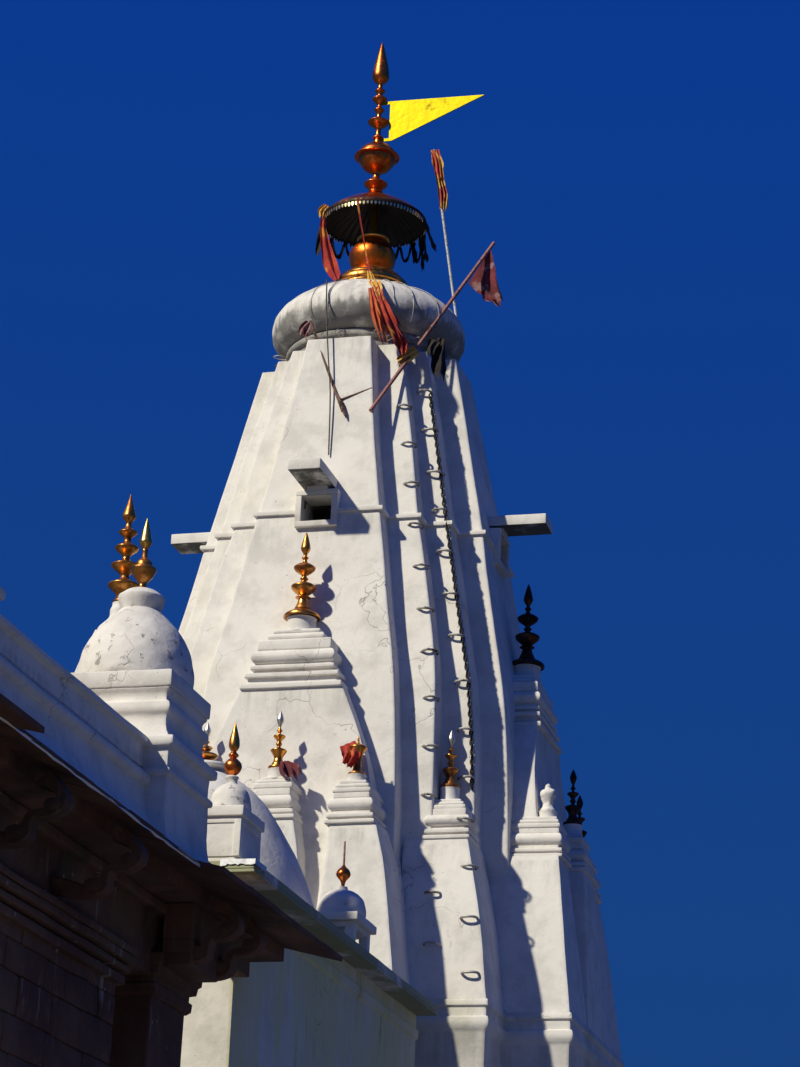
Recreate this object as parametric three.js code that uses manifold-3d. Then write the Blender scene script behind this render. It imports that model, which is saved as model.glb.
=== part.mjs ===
// A whitewashed North Indian temple: a curved tower over the shrine, a domed hall in front of it
// and an older stone porch hall before that, all on one stone plinth.
// Millimetres, +Z up. The origin is on the tower's axis at ground level, and the halls run towards -Y.

import * as THREE from 'three';
import { mergeVertices } from 'three/addons/utils/BufferGeometryUtils.js';
import Module from 'manifold-3d';

const wasm = await Module();
wasm.setup();

// Levels above the ground
const plinthTierTop = 450;
const floorLevel = 900;
const shrineWallTop = 7100;
const towerBase = 7400;
const windowSill = 14010;
const ledgeLevel = 14200;
const shoulderLevel = 16980;
const amalakaBottom = 17240;
const amalakaTop = 18290;
const crownRingTop = 18600;
const parasolLevel = 19496;
const parasolHub = 19820;
const finialFoot = 19940;

// Clearance kept between pieces that meet on a slanted or turned face
const joint = 0.4;

// The tower's stepped plan at each level. From the middle of a face to the diagonal the plan steps
// back three times: halfFace is half the middle strip, out is how far that strip stands from the axis,
// and stepOne and stepTwo are the two corners between them.
const towerProfile = [
  { level: 7400, halfFace: 1445, stepOne: 1811, stepTwo: 2278, out: 2635 },
  { level: 9780, halfFace: 1411, stepOne: 1802, stepTwo: 2250, out: 2610 },
  { level: 10800, halfFace: 1360, stepOne: 1790, stepTwo: 2219, out: 2550 },
  { level: 11820, halfFace: 1258, stepOne: 1735, stepTwo: 2120, out: 2445 },
  { level: 12840, halfFace: 1080, stepOne: 1570, stepTwo: 1915, out: 2240 },
  { level: 13520, halfFace: 969, stepOne: 1440, stepTwo: 1780, out: 2110 },
  { level: 14200, halfFace: 854, stepOne: 1290, stepTwo: 1636, out: 1998 },
  { level: 15270, halfFace: 680, stepOne: 1128, stepTwo: 1437, out: 1785 },
  { level: 16325, halfFace: 547, stepOne: 930, stepTwo: 1230, out: 1573 },
  { level: 16980, halfFace: 466, stepOne: 790, stepTwo: 1105, out: 1441 },
];
const shaftHalf = 600;
const shaftTop = 14700;

// The shrine below the tower
const shrineHalf = 1700;
const cornerOut = 2680;
const bayHalf = 1740;
const bayOut = 3530;
const doorHalf = 600;
const doorHeight = 2300;

// Windows of the tower's upper room
const windowHalf = 212;
const windowHeight = 360;
const windowFrameSide = 85;
const canopyHalf = 225;
const canopyOut = 2740;
const canopyBottom = 14506;
const canopyThickness = 150;

// The finial of a large half-spire: how far its axis stands from the tower's axis, and the round
// drum that carries it
const finialOut = 2470;
const finialDrum = 200;
const finialDrumTop = 12490;

// The domed hall
const hallHalf = 2040;
const hallWall = 450;
const domedFront = -10455;
const domedWallTop = 7026;
const domedRoofTop = 7146;
const domedEave = 2295;
const domedRoofFront = -10778;
const bigDomeCentre = -5908;
const domeHollow = 1180;
const slimSpireCentre = -8925;

// The stone porch hall
const porchFront = -22100;
const porchBack = -11800;
const porchBeamBottom = 5600;
const porchBeamTop = 6244;
const porchBeam = 430;
const pillar = 920;
const porchWallBack = -13600;
const porchEave = 3060;
const porchEaveBack = -10158;
const porchEaveFront = -23120;
const porchEaveEdge = 110;
const porchRoofTop = 6680;
const narrowEave = 2830;
const narrowEaveFront = -18060;
const narrowEaveBack = -13880;
const roofOuter = 2500;
const roofBack = -10800;
const courtHalf = 1850;
const courtFront = -12260;
const parapetOuter = 2445;
const parapetInner = 2105;
const parapetTop = 7320;
const parapetFront = -22505;
const pavilionSide = 2085;
const pavilionNear = -18790;
const pavilionFar = -13800;

const white = { color: 0xe9e6df, roughness: 0.85, metalness: 0 };
const stone = { color: 0x6d5344, roughness: 0.9, metalness: 0 };
const copper = { color: 0xb46a32, roughness: 0.35, metalness: 0.9 };
const gilt = { color: 0xe3c22a, roughness: 0.35, metalness: 0.7 };
const iron = { color: 0x554843, roughness: 0.6, metalness: 0.5 };
const redCloth = { color: 0x7c2430, roughness: 0.9, metalness: 0 };

const temple = new THREE.Group();
temple.name = 'hindu_temple';

// Turns a closed three.js geometry into a solid that can be joined and cut
function solidFrom(geometry) {
  const bare = geometry.clone();
  bare.deleteAttribute('normal');
  bare.deleteAttribute('uv');
  const merged = mergeVertices(bare, 1e-3);
  const index = merged.index.array;
  const triangles = [];
  for (let i = 0; i < index.length; i += 3) {
    const [a, b, c] = [index[i], index[i + 1], index[i + 2]];
    if (a !== b && b !== c && c !== a) triangles.push(a, b, c);
  }
  const vertProperties = new Float32Array(merged.attributes.position.array);
  const triVerts = new Uint32Array(triangles);
  return new wasm.Manifold(new wasm.Mesh({ numProp: 3, vertProperties, triVerts }));
}

function geometryFrom(solid) {
  const mesh = solid.getMesh();
  const geometry = new THREE.BufferGeometry();
  geometry.setAttribute('position', new THREE.BufferAttribute(mesh.vertProperties, 3));
  geometry.setIndex(new THREE.BufferAttribute(mesh.triVerts, 1));
  geometry.computeVertexNormals();
  return geometry;
}

function join(solids) {
  return solids.reduce((whole, piece) => whole.add(piece));
}

// An upright block between two corners
function block(x0, x1, y0, y1, z0, z1) {
  const geometry = new THREE.BoxGeometry(x1 - x0, y1 - y0, z1 - z0);
  geometry.translate((x0 + x1) / 2, (y0 + y1) / 2, (z0 + z1) / 2);
  return solidFrom(geometry);
}

// A body through outlines that have the same number of corners, each at its own level,
// with the corners going round counter-clockwise as seen from above
function loft(sections) {
  const count = sections[0].outline.length;
  const positions = [];
  const index = [];
  for (const { level, outline } of sections) {
    for (const [x, y] of outline) positions.push(x, y, level);
  }
  for (let s = 0; s + 1 < sections.length; s += 1) {
    for (let i = 0; i < count; i += 1) {
      const a = s * count + i;
      const b = s * count + ((i + 1) % count);
      index.push(a, b, b + count, a, b + count, a + count);
    }
  }
  const last = (sections.length - 1) * count;
  for (const face of capFaces(sections[0].outline)) {
    index.push(face[0], face[2], face[1]);
  }
  for (const face of capFaces(sections[sections.length - 1].outline)) {
    index.push(last + face[0], last + face[1], last + face[2]);
  }
  const geometry = new THREE.BufferGeometry();
  geometry.setAttribute('position', new THREE.Float32BufferAttribute(positions, 3));
  geometry.setIndex(index);
  return solidFrom(geometry);
}

// Triangles that fill an outline, all counter-clockwise
function capFaces(outline) {
  const points = outline.map(([x, y]) => new THREE.Vector2(x, y));
  return THREE.ShapeUtils.triangulateShape(points, []).map(([a, b, c]) => {
    const upward = THREE.ShapeUtils.area([points[a], points[b], points[c]]) > 0;
    return upward ? [a, b, c] : [a, c, b];
  });
}

// A round body about the Z axis, from a profile of [radius, height] that rises from axis to axis
function turned(profile, sides) {
  const points = profile.map(([radius, height]) => new THREE.Vector2(radius, height));
  const geometry = new THREE.LatheGeometry(points, sides);
  geometry.rotateX(Math.PI / 2);
  return solidFrom(geometry);
}

function add(parent, name, solid, finish, position = [0, 0, 0], turn = 0) {
  const mesh = new THREE.Mesh(geometryFrom(solid), new THREE.MeshStandardMaterial(finish));
  mesh.name = name;
  mesh.position.set(...position);
  mesh.rotation.z = turn;
  parent.add(mesh);
  return mesh;
}

// Values of the tower's plan at any level, in straight lines between the measured levels
function planAt(level) {
  const upper = towerProfile.findIndex((row) => row.level >= level);
  const b = towerProfile[Math.max(upper, 1)];
  const a = towerProfile[Math.max(upper, 1) - 1];
  const share = (level - a.level) / (b.level - a.level);
  const between = (key) => a[key] + (b[key] - a[key]) * share;
  return {
    level,
    halfFace: between('halfFace'),
    stepOne: between('stepOne'),
    stepTwo: between('stepTwo'),
    out: between('out'),
  };
}

// The rows of the profile from one level to another, ends included
function planRows(from, to) {
  const inside = towerProfile.filter((row) => row.level > from && row.level < to);
  return [planAt(from), ...inside, planAt(to)];
}

// One corner of the stepped plan, from the middle strip of a face to that of the next,
// for the quadrant x > 0, y < 0
function stepCorners({ halfFace, stepOne, stepTwo, out }, grow) {
  return [
    [halfFace + grow, -out - grow],
    [halfFace + grow, -stepTwo - grow],
    [stepOne + grow, -stepTwo - grow],
    [stepOne + grow, -stepOne - grow],
    [stepTwo + grow, -stepOne - grow],
    [stepTwo + grow, -halfFace - grow],
    [out + grow, -halfFace - grow],
  ];
}

function quarterTurn([x, y], times) {
  let turnedPoint = [x, y];
  for (let i = 0; i < times; i += 1) turnedPoint = [-turnedPoint[1], turnedPoint[0]];
  return turnedPoint;
}

// The whole stepped plan, four corners round
function steppedOutline(row, grow = 0) {
  const corner = stepCorners(row, grow);
  return [0, 1, 2, 3].flatMap((times) => corner.map((point) => quarterTurn(point, times)));
}

function towerBody(from, to, grow = 0) {
  return loft(planRows(from, to).map((row) => ({ level: row.level, outline: steppedOutline(row, grow) })));
}

// One side of the tower below the windows: the part between the two diagonals in front of the shaft
function towerSide() {
  const sections = planRows(towerBase, windowSill).map((row) => {
    const { level, halfFace, stepOne, stepTwo, out } = row;
    const right = [
      [halfFace, -out],
      [halfFace, -stepTwo],
      [stepOne, -stepTwo],
      [stepOne - joint, -stepOne],
      [shaftHalf - joint, -shaftHalf],
    ];
    const left = right.map(([x, y]) => [-x, y]).reverse();
    return { level, outline: [...left, ...right] };
  });
  return loft(sections);
}

const plumb = towerBody(towerBase, shoulderLevel, joint);

// Cross-shaped courses of the shrine
function crossCourse(grow, from, to) {
  const long = block(-bayHalf - grow, bayHalf + grow, -bayOut - grow, bayOut + grow, from, to);
  const wide = block(-bayOut - grow, bayOut + grow, -bayHalf - grow, bayHalf + grow, from, to);
  const square = cornerOut + grow;
  return join([long, wide, block(-square, square, -square, square, from, to)]);
}

function buildPlinth() {
  const hallGrow = 600;
  const hallSide = hallHalf + hallGrow;
  const hallEnd = porchFront - hallGrow;
  const step = 300;
  const lower = join([
    crossCourse(hallGrow, 0, plinthTierTop),
    block(-hallSide, hallSide, hallEnd, 0, 0, plinthTierTop),
  ]);
  const upper = join([
    crossCourse(hallGrow - step, plinthTierTop, floorLevel),
    block(-hallSide + step, hallSide - step, hallEnd + step, 0, plinthTierTop, floorLevel),
  ]);
  add(temple, 'plinth', lower.add(upper), stone);
}

function buildShrine() {
  const sideWall = () => block(-shrineHalf, shrineHalf, -bayOut, -shrineHalf, floorLevel, shrineWallTop);
  const endWall = (x0, x1, from, to) => join([
    block(x0, x1, -cornerOut, -shrineHalf, from, to),
    block(Math.max(x0, -bayHalf), Math.min(x1, bayHalf), -bayOut, -cornerOut, from, to),
  ]);
  add(temple, 'shrine_wall_right', sideWall(), white, [0, 0, 0], Math.PI / 2);
  add(temple, 'shrine_wall_left', sideWall(), white, [0, 0, 0], -Math.PI / 2);
  add(temple, 'shrine_wall_back', endWall(-cornerOut, cornerOut, floorLevel, shrineWallTop), white,
    [0, 0, 0], Math.PI);
  const lintelBottom = floorLevel + doorHeight;
  add(temple, 'shrine_front_left', endWall(-cornerOut, -doorHalf, floorLevel, shrineWallTop), white);
  add(temple, 'shrine_front_right', endWall(doorHalf, cornerOut, floorLevel, shrineWallTop), white);
  add(temple, 'shrine_door_lintel', endWall(-doorHalf, doorHalf, lintelBottom, shrineWallTop), white);
  add(temple, 'shrine_ceiling', crossCourse(0, shrineWallTop, towerBase), white);
}

function buildTower() {
  const names = ['front', 'right', 'back', 'left'];
  names.forEach((name, times) => {
    add(temple, `tower_side_${name}`, towerSide(), white, [0, 0, 0], (times * Math.PI) / 2);
  });
  const ledgeGrow = 45;
  const ledgeThickness = 60;
  const ledge = loft([
    { level: ledgeLevel - ledgeThickness, outline: steppedOutline(planAt(ledgeLevel), ledgeGrow) },
    { level: ledgeLevel, outline: steppedOutline(planAt(ledgeLevel), ledgeGrow) },
  ]);
  const shaft = block(-shaftHalf, shaftHalf, -shaftHalf, shaftHalf, windowSill - 1, shaftTop);
  const far = bayOut;
  const windowTop = windowSill + windowHeight;
  const throughX = block(-far, far, -windowHalf, windowHalf, windowSill - 1, windowTop);
  const throughY = block(-windowHalf, windowHalf, -far, far, windowSill - 1, windowTop);
  const frameGap = windowHalf + windowFrameSide + 5;
  const clearX = block(-far, far, -frameGap, frameGap, windowSill - 1, ledgeLevel + 1);
  const clearY = block(-frameGap, frameGap, -far, far, windowSill - 1, ledgeLevel + 1);
  const band = ledge.subtract(clearX).subtract(clearY);
  const neck = turned([[0, shoulderLevel - 1], [1190, shoulderLevel - 1], [1190, shoulderLevel + 60],
    [1130, shoulderLevel + 70], [1130, shoulderLevel + 150], [1180, shoulderLevel + 160],
    [1180, amalakaBottom], [0, amalakaBottom]], 24);
  const body = join([towerBody(windowSill, shoulderLevel), band, neck]);
  add(temple, 'tower_top', body.subtract(shaft).subtract(throughX).subtract(throughY), white);
}

// A window in the front face: a square frame round the opening and a slab canopy on a block above it
function windowFrame() {
  const frameOut = planAt(windowSill).out + 90;
  const outer = windowHalf + windowFrameSide;
  const top = windowSill + windowHeight;
  const frameTop = top + windowFrameSide;
  const bracketHalf = 140;
  const inside = -1700;
  const slabTop = canopyBottom + canopyThickness;
  const ring = block(-outer, outer, -frameOut, inside, windowSill - windowFrameSide, frameTop)
    .subtract(block(-windowHalf, windowHalf, -frameOut - 1, inside + 1, windowSill, top));
  const slab = block(-canopyHalf, canopyHalf, -canopyOut, inside, canopyBottom, slabTop);
  const bracket = block(-bracketHalf, bracketHalf, -frameOut, inside, frameTop - 1, canopyBottom + 1);
  return join([ring, slab, bracket]).subtract(plumb);
}

// Tiers of a half-spire's capital, each a slab with its half width, depth from the tower's axis,
// bottom and top; the slabs reach back into the tower and are cut off at its face
function tiers(centre, rows) {
  return join(rows.map(([half, out, from, to]) => (
    block(centre - half, centre + half, -out, -1500, from, to)
  )));
}

function halfSpireBody(rows) {
  return loft(rows.map(({ level, left, right, out }) => ({
    level,
    outline: [[left, -out], [right, -out], [right, -1500], [left, -1500]],
  })));
}

// A small pot finial fused to the round drum that carries it
function smallFinial(x, y, bottom, height) {
  const r = height * 0.16;
  const profile = [[0, -20], [r, -20], [r, height * 0.06], [r * 0.4, height * 0.2], [r, height * 0.36],
    [r * 0.25, height * 0.46], [r * 0.75, height * 0.58], [r * 0.3, height * 0.66],
    [r * 0.42, height * 0.78], [0, height]];
  return turned(profile, 7).translate([x, y, bottom]);
}

// What is left of a broken finial: its foot and the first pot under a lid
function brokenFinial(x, y, bottom, height) {
  const profile = [[0, -20], [110, -20], [120, 30], [75, 60], [75, height * 0.6], [115, height * 0.7],
    [105, height * 0.8], [20, height * 0.88], [0, height]];
  return turned(profile, 7).translate([x, y, bottom]);
}

function drum(x, y, radius, from, to) {
  return turned([[0, from], [radius, from], [radius, to], [0, to]], 10).translate([x, y, 0]);
}

// The half-spires of one face: a large one, a small one before it and one on either side.
// Either flank's finial is whole or broken.
function faceSpires(finialOnRight, finialOnLeft) {
  const large = halfSpireBody([
    { level: towerBase, left: -1615, right: 1615, out: 3400 },
    { level: 8250, left: -1488, right: 1488, out: 3250 },
    { level: 9100, left: -1360, right: 1360, out: 3080 },
    { level: 9780, left: -1225, right: 1225, out: 2970 },
    { level: 10250, left: -1131, right: 1131, out: 2900 },
    { level: 10590, left: -1029, right: 1029, out: 2860 },
    { level: 10970, left: -893, right: 893, out: 2825 },
    { level: 11470, left: -690, right: 690, out: 2800 },
  ]);
  const largeCap = tiers(0, [
    [690, 2840, 11446, 11540], [620, 2780, 11540, 11605], [632, 2810, 11605, 11680],
    [555, 2760, 11680, 11720], [566, 2790, 11720, 11780], [540, 2760, 11780, 11805],
    [572, 2800, 11805, 12000], [480, 2740, 12000, 12145], [387, 2700, 12145, 12240],
    [320, 2670, 12240, 12300],
  ]);
  const finialSeat = drum(0, -finialOut, finialDrum, 12290, finialDrumTop);
  const middle = halfSpireBody([
    { level: towerBase, left: -530, right: 530, out: bayOut },
    { level: 9040, left: -416, right: 416, out: 3440 },
    { level: 9570, left: -305, right: 305, out: 3375 },
  ]);
  const middleOut = 3150;
  const middleCap = join([
    tiers(0, [
      [325, 3410, 9555, 9650], [288, 3395, 9650, 9695], [275, 3390, 9695, 9885],
      [240, 3340, 9885, 9960], [260, 3340, 9960, 10055], [200, 3300, 10055, 10120],
    ]),
    drum(0, -middleOut, 135, 10110, 10250),
    smallFinial(0, -middleOut, 10250, 785),
  ]);
  const side = (sign, finial) => {
    const inner = [560, 735, 740];
    const outer = [1740, 1513, 1350];
    const outs = [bayOut, 3350, 3260];
    const levels = [towerBase, 8888, 9505];
    const body = halfSpireBody(levels.map((level, i) => ({
      level,
      left: sign > 0 ? inner[i] : -outer[i],
      right: sign > 0 ? outer[i] : -inner[i],
      out: outs[i],
    })));
    const centre = 1010 * sign;
    const finialFrom = 3034;
    const cap = tiers(centre, [
      [325, 3300, 9495, 9585], [285, 3285, 9585, 9665], [272, 3280, 9665, 9845],
      [235, 3230, 9845, 9910], [245, 3240, 9910, 10000], [190, 3200, 10000, 10070],
    ]);
    const seat = drum(centre, -finialFrom, 130, 10060, 10170);
    return join([body, cap, seat, finial(centre, -finialFrom, 10170)]);
  };
  const whole = join([large, largeCap, finialSeat, middle, middleCap,
    side(1, finialOnRight), side(-1, finialOnLeft)]);
  return whole.subtract(plumb);
}

// The small spire that stands on each corner of the shrine, in the quadrant x > 0, y < 0
function cornerSpire() {
  const corner = (inner, outer) => [[inner, -outer], [outer, -outer], [outer, -inner], [inner, -inner]];
  const inner = 1500;
  const body = loft([
    { level: towerBase, outline: corner(inner, cornerOut) },
    { level: 8450, outline: corner(inner, 2540) },
    { level: 9530, outline: corner(inner, 2290) },
  ]);
  const tier = (from, to, near, far) => block(near, far, -far, -near, from, to);
  const centre = 1945;
  const cap = join([
    tier(9520, 9600, 1700, 2310), tier(9600, 9700, 1720, 2290), tier(9700, 9845, 1710, 2300),
    tier(9845, 9930, 1740, 2240), tier(9930, 10030, 1730, 2220), tier(10030, 10080, 1780, 2150),
    drum(centre, -centre, 130, 10070, 10270),
  ]);
  const bayEdge = bayHalf + 20;
  const far = 4000;
  const bay = block(-bayEdge, bayEdge, -far, 0, towerBase - 1, 9530)
    .add(block(0, far, -bayEdge, bayEdge, towerBase - 1, 9530));
  const finial = smallFinial(centre, -centre, 10270, 830);
  return join([body, cap, finial]).subtract(plumb).subtract(bay);
}

// The tall finial of the large half-spire: flared rim, bell, two lidded pots and a spear,
// set close against the tower's face
function largeFinial() {
  const profile = [[0, 0], [215, 0], [240, 20], [225, 50], [150, 75], [105, 110], [78, 265], [60, 293],
    [165, 410], [172, 469], [60, 510], [75, 575], [55, 609], [138, 700], [136, 750], [55, 790],
    [40, 867], [66, 966], [0, 1219]];
  return turned(profile, 10).translate([0, -finialOut, finialDrumTop + joint]).subtract(plumb);
}

function buildFaces() {
  const whole = (x, y, bottom) => smallFinial(x, y, bottom, 780);
  const broken = (x, y, bottom) => brokenFinial(x, y, bottom, 530);
  const stub = (x, y, bottom) => brokenFinial(x, y, bottom, 400);
  const faces = [
    { name: 'front', onRight: broken, onLeft: whole },
    { name: 'right', onRight: whole, onLeft: stub },
    { name: 'back', onRight: whole, onLeft: whole },
    { name: 'left', onRight: whole, onLeft: whole },
  ];
  faces.forEach(({ name, onRight, onLeft }, times) => {
    const face = new THREE.Group();
    face.rotation.z = (times * Math.PI) / 2;
    temple.add(face);
    add(face, `window_${name}`, windowFrame(), white);
    add(face, `half_spires_${name}`, faceSpires(onRight, onLeft), white);
    add(face, `corner_spire_${name}`, cornerSpire(), white);
    add(face, `half_spire_finial_${name}`, largeFinial(), copper);
  });
}

// The bun-shaped stone that crowns the tower's neck
function amalakaBody(grow) {
  const profile = [[1120, amalakaBottom], [1290, 17340], [1380, 17480], [1400, 17600], [1378, 17730],
    [1295, 17860], [1150, 17985], [950, 18110], [740, 18210], [530, amalakaTop]];
  const grown = profile.map(([radius, level]) => [radius + grow, level]);
  const foot = amalakaBottom + joint;
  return turned([[0, foot], [1120, foot], ...grown.slice(1), [0, amalakaTop]], 24);
}

function buildCrown() {
  add(temple, 'amalaka', amalakaBody(0), white);
  const pot = turned([[0, amalakaTop + joint], [530, amalakaTop + joint], [540, amalakaTop + 170],
    [520, amalakaTop + 195], [380, crownRingTop], [240, crownRingTop + 5], [285, 18780], [335, 18920],
    [342, 19000], [320, 19080], [255, 19150], [205, 19215], [70, 19230], [60, parasolHub],
    [0, parasolHub]], 16);
  add(temple, 'crown_pot', pot, copper);
  const rim = 755;
  const parasol = turned([[0, parasolHub + joint], [100, parasolHub + joint], [rim - 15, parasolLevel - 60],
    [rim, parasolLevel], [420, 19760], [150, 19900], [90, finialFoot], [0, finialFoot]], 20);
  add(temple, 'parasol', parasol, copper);
  add(temple, 'top_finial', topFinialBody(0), copper);
}

// Pots, discs and spear on the tower's axis above the parasol
function topFinialBody(grow) {
  const foot = finialFoot + joint;
  const profile = [[100, foot], [95, 20000], [170, 20090], [80, 20190], [60, 20260],
    [200, 20330], [332, 20541], [230, 20700], [70, 20790], [55, 20850], [77, 20915], [45, 20990],
    [160, 21136], [45, 21230], [77, 21340], [40, 21420], [110, 21519], [40, 21600], [77, 21660],
    [45, 21760], [125, 21893], [60, 22250]];
  const grown = profile.map(([radius, level]) => [radius + grow, level]);
  return turned([[0, foot], ...grown, [0, 22505]], 12);
}

// The sheet-metal pennant: a long triangle held on two short arms from the finial's stem
function buildPennant() {
  const hoistBottom = 20805;
  const hoistTop = 21467;
  const arm = 45;
  const inner = 30;
  const hoist = 190;
  const outline = new THREE.Shape();
  outline.moveTo(inner, hoistBottom);
  outline.lineTo(hoist + 20, hoistBottom);
  outline.lineTo(1615, 21433);
  outline.lineTo(hoist, hoistTop);
  outline.lineTo(inner, hoistTop);
  outline.lineTo(inner, hoistTop - arm);
  outline.lineTo(hoist - 20, hoistTop - arm);
  outline.lineTo(hoist - 20, hoistBottom + arm);
  outline.lineTo(inner, hoistBottom + arm);
  const thickness = 20;
  const plate = new THREE.ExtrudeGeometry(outline, { depth: thickness, bevelEnabled: false });
  plate.rotateX(Math.PI / 2);
  plate.translate(0, thickness / 2, 0);
  add(temple, 'pennant', solidFrom(plate).subtract(topFinialBody(joint)), gilt);
}

// A round bar between two points
function bar(from, to, radius) {
  const start = new THREE.Vector3(...from);
  const end = new THREE.Vector3(...to);
  const along = end.clone().sub(start);
  const geometry = new THREE.CylinderGeometry(radius, radius, along.length(), 8);
  geometry.translate(0, along.length() / 2, 0);
  geometry.applyQuaternion(new THREE.Quaternion().setFromUnitVectors(
    new THREE.Vector3(0, 1, 0), along.normalize()));
  geometry.translate(start.x, start.y, start.z);
  return solidFrom(geometry);
}

// Two flag poles tied to the crown: one stands up from the amalaka, the other leans on its rim
// from the front face and carries a small triangular flag
function buildPoles() {
  const rim = amalakaBody(joint);
  const upright = bar([1308, 0, 17800], [874, 0, 20590], 22);
  add(temple, 'flag_pole_tall', upright.subtract(rim), iron);
  const foot = new THREE.Vector3(581, -1715, 15726);
  const tip = new THREE.Vector3(1775, 210, 19090);
  const radius = 26;
  const leaning = bar(foot.toArray(), tip.toArray(), radius);
  add(temple, 'flag_pole_leaning', leaning.subtract(plumb).subtract(rim), iron);
  const hoistTop = foot.clone().lerp(tip, 0.965);
  const hoistFoot = foot.clone().lerp(tip, 0.8);
  const fly = new THREE.Vector3(1900, 210, 18150);
  const flag = triangle(hoistTop, hoistFoot, fly, 12);
  const sleeve = bar(foot.toArray(), tip.toArray(), radius + joint);
  add(temple, 'leaning_flag', flag.subtract(sleeve), redCloth);
}

// A thin three-cornered plate
function triangle(a, b, c, thickness) {
  const half = b.clone().sub(a).cross(c.clone().sub(a)).setLength(thickness / 2);
  const upper = [a, b, c].map((point) => point.clone().add(half));
  const lower = [a, b, c].map((point) => point.clone().sub(half));
  const positions = [...upper, ...lower].flatMap((point) => point.toArray());
  const geometry = new THREE.BufferGeometry();
  geometry.setAttribute('position', new THREE.Float32BufferAttribute(positions, 3));
  geometry.setIndex([0, 1, 2, 5, 4, 3, 0, 3, 4, 0, 4, 1, 1, 4, 5, 1, 5, 2, 2, 5, 3, 2, 3, 0]);
  return solidFrom(geometry);
}

function buildDomedHall() {
  const back = -bayOut - joint;
  const inner = hallHalf - hallWall;
  const frontInner = domedFront + hallWall;
  add(temple, 'hall_wall_right', block(inner, hallHalf, frontInner, back, floorLevel, domedWallTop), white);
  add(temple, 'hall_wall_left', block(-hallHalf, -inner, frontInner, back, floorLevel, domedWallTop), white);
  const hallDoorHalf = 750;
  const hallDoorTop = floorLevel + 2700;
  add(temple, 'hall_front_right',
    block(hallDoorHalf, hallHalf, domedFront, frontInner, floorLevel, domedWallTop), white);
  add(temple, 'hall_front_left',
    block(-hallHalf, -hallDoorHalf, domedFront, frontInner, floorLevel, domedWallTop), white);
  add(temple, 'hall_door_lintel',
    block(-hallDoorHalf, hallDoorHalf, domedFront, frontInner, hallDoorTop, domedWallTop), white);
  buildDomedRoof(back);
}

// A small solid pavilion: a plain block with a slab and a little dome
function boxPavilion(side) {
  const [x, y] = [1830 * side, -10250];
  const level = (halfX, halfY, from, to) => block(x - halfX, x + halfX, y - halfY, y + halfY, from, to);
  const dome = turned([[0, 7744], [205, 7744], [212, 7820], [190, 7930], [140, 8010], [70, 8050],
    [55, 8090], [75, 8130], [0, 8131]], 10).translate([x, y, 0]);
  return join([level(205, 305, domedRoofTop - 1, 7240), level(230, 330, 7239, 7640),
    level(255, 360, 7640, 7745), dome, smallFinial(x, y, 8130, 580)]);
}

// A small open pavilion: four short posts under a slab with a little dome
function kioskPavilion(side) {
  const [x, y] = [1850 * side, -6250];
  const level = (halfX, halfY, from, to) => block(x - halfX, x + halfX, y - halfY, y + halfY, from, to);
  const posts = level(245, 350, domedRoofTop - 1, 7496)
    .subtract(level(145, 500, domedRoofTop + 60, 7430))
    .subtract(level(400, 230, domedRoofTop + 60, 7430));
  const dome = turned([[0, 7584], [265, 7584], [278, 7680], [250, 7790], [180, 7870], [80, 7910],
    [60, 7930], [80, 7955], [0, 7956]], 10).translate([x, y, 0]);
  return join([posts, level(300, 410, 7495, 7585), dome, smallFinial(x, y, 7955, 530)]);
}

function buildDomedRoof(back) {
  const eye = turned([[0, domedWallTop - 1], [domeHollow, domedWallTop - 1],
    [domeHollow, domedRoofTop + 1], [0, domedRoofTop + 1]], 24).translate([0, bigDomeCentre, 0]);
  const slab = block(-domedEave, domedEave, domedRoofFront, back, domedWallTop, domedRoofTop).subtract(eye);
  const pavilions = [boxPavilion(1), boxPavilion(-1), kioskPavilion(1), kioskPavilion(-1)];
  add(temple, 'hall_roof', join([slab, ...pavilions]), white);
  const dome = turned([[0, 0], [1500, 0], [1500, 100], [1480, 130], [1480, 339], [1309, 891],
    [1113, 1334], [782, 1860], [520, 2120], [314, 2260], [220, 2300], [310, 2340], [280, 2390],
    [110, 2410], [160, 2490], [60, 2550], [70, 2580], [0, 2659]], 24)
    .subtract(turned([[0, -10], [domeHollow, -10], [1160, 339], [1010, 891], [800, 1334], [450, 1750],
      [0, 1900]], 24));
  add(temple, 'hall_dome', dome, white, [0, bigDomeCentre, domedRoofTop + joint]);
  const square = (half) => [[-half, -half], [half, -half], [half, half], [-half, half]];
  const base = domedRoofTop + joint;
  const spire = loft([
    { level: base, outline: square(860) },
    { level: 7900, outline: square(840) },
    { level: 8700, outline: square(660) },
    { level: 9400, outline: square(420) },
    { level: 9900, outline: square(290) },
    { level: 10150, outline: square(215) },
  ]);
  const cap = turned([[0, 10140], [235, 10140], [250, 10190], [215, 10270], [150, 10330], [130, 10400],
    [112, 10480], [110, 10560], [180, 10700], [60, 10790], [170, 10930], [50, 11020], [140, 11140],
    [45, 11230], [110, 11330], [40, 11410], [80, 11500], [0, 11790]], 10);
  add(temple, 'hall_slim_spire', spire.add(cap).translate([0, slimSpireCentre, 0]), white);
}

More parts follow.
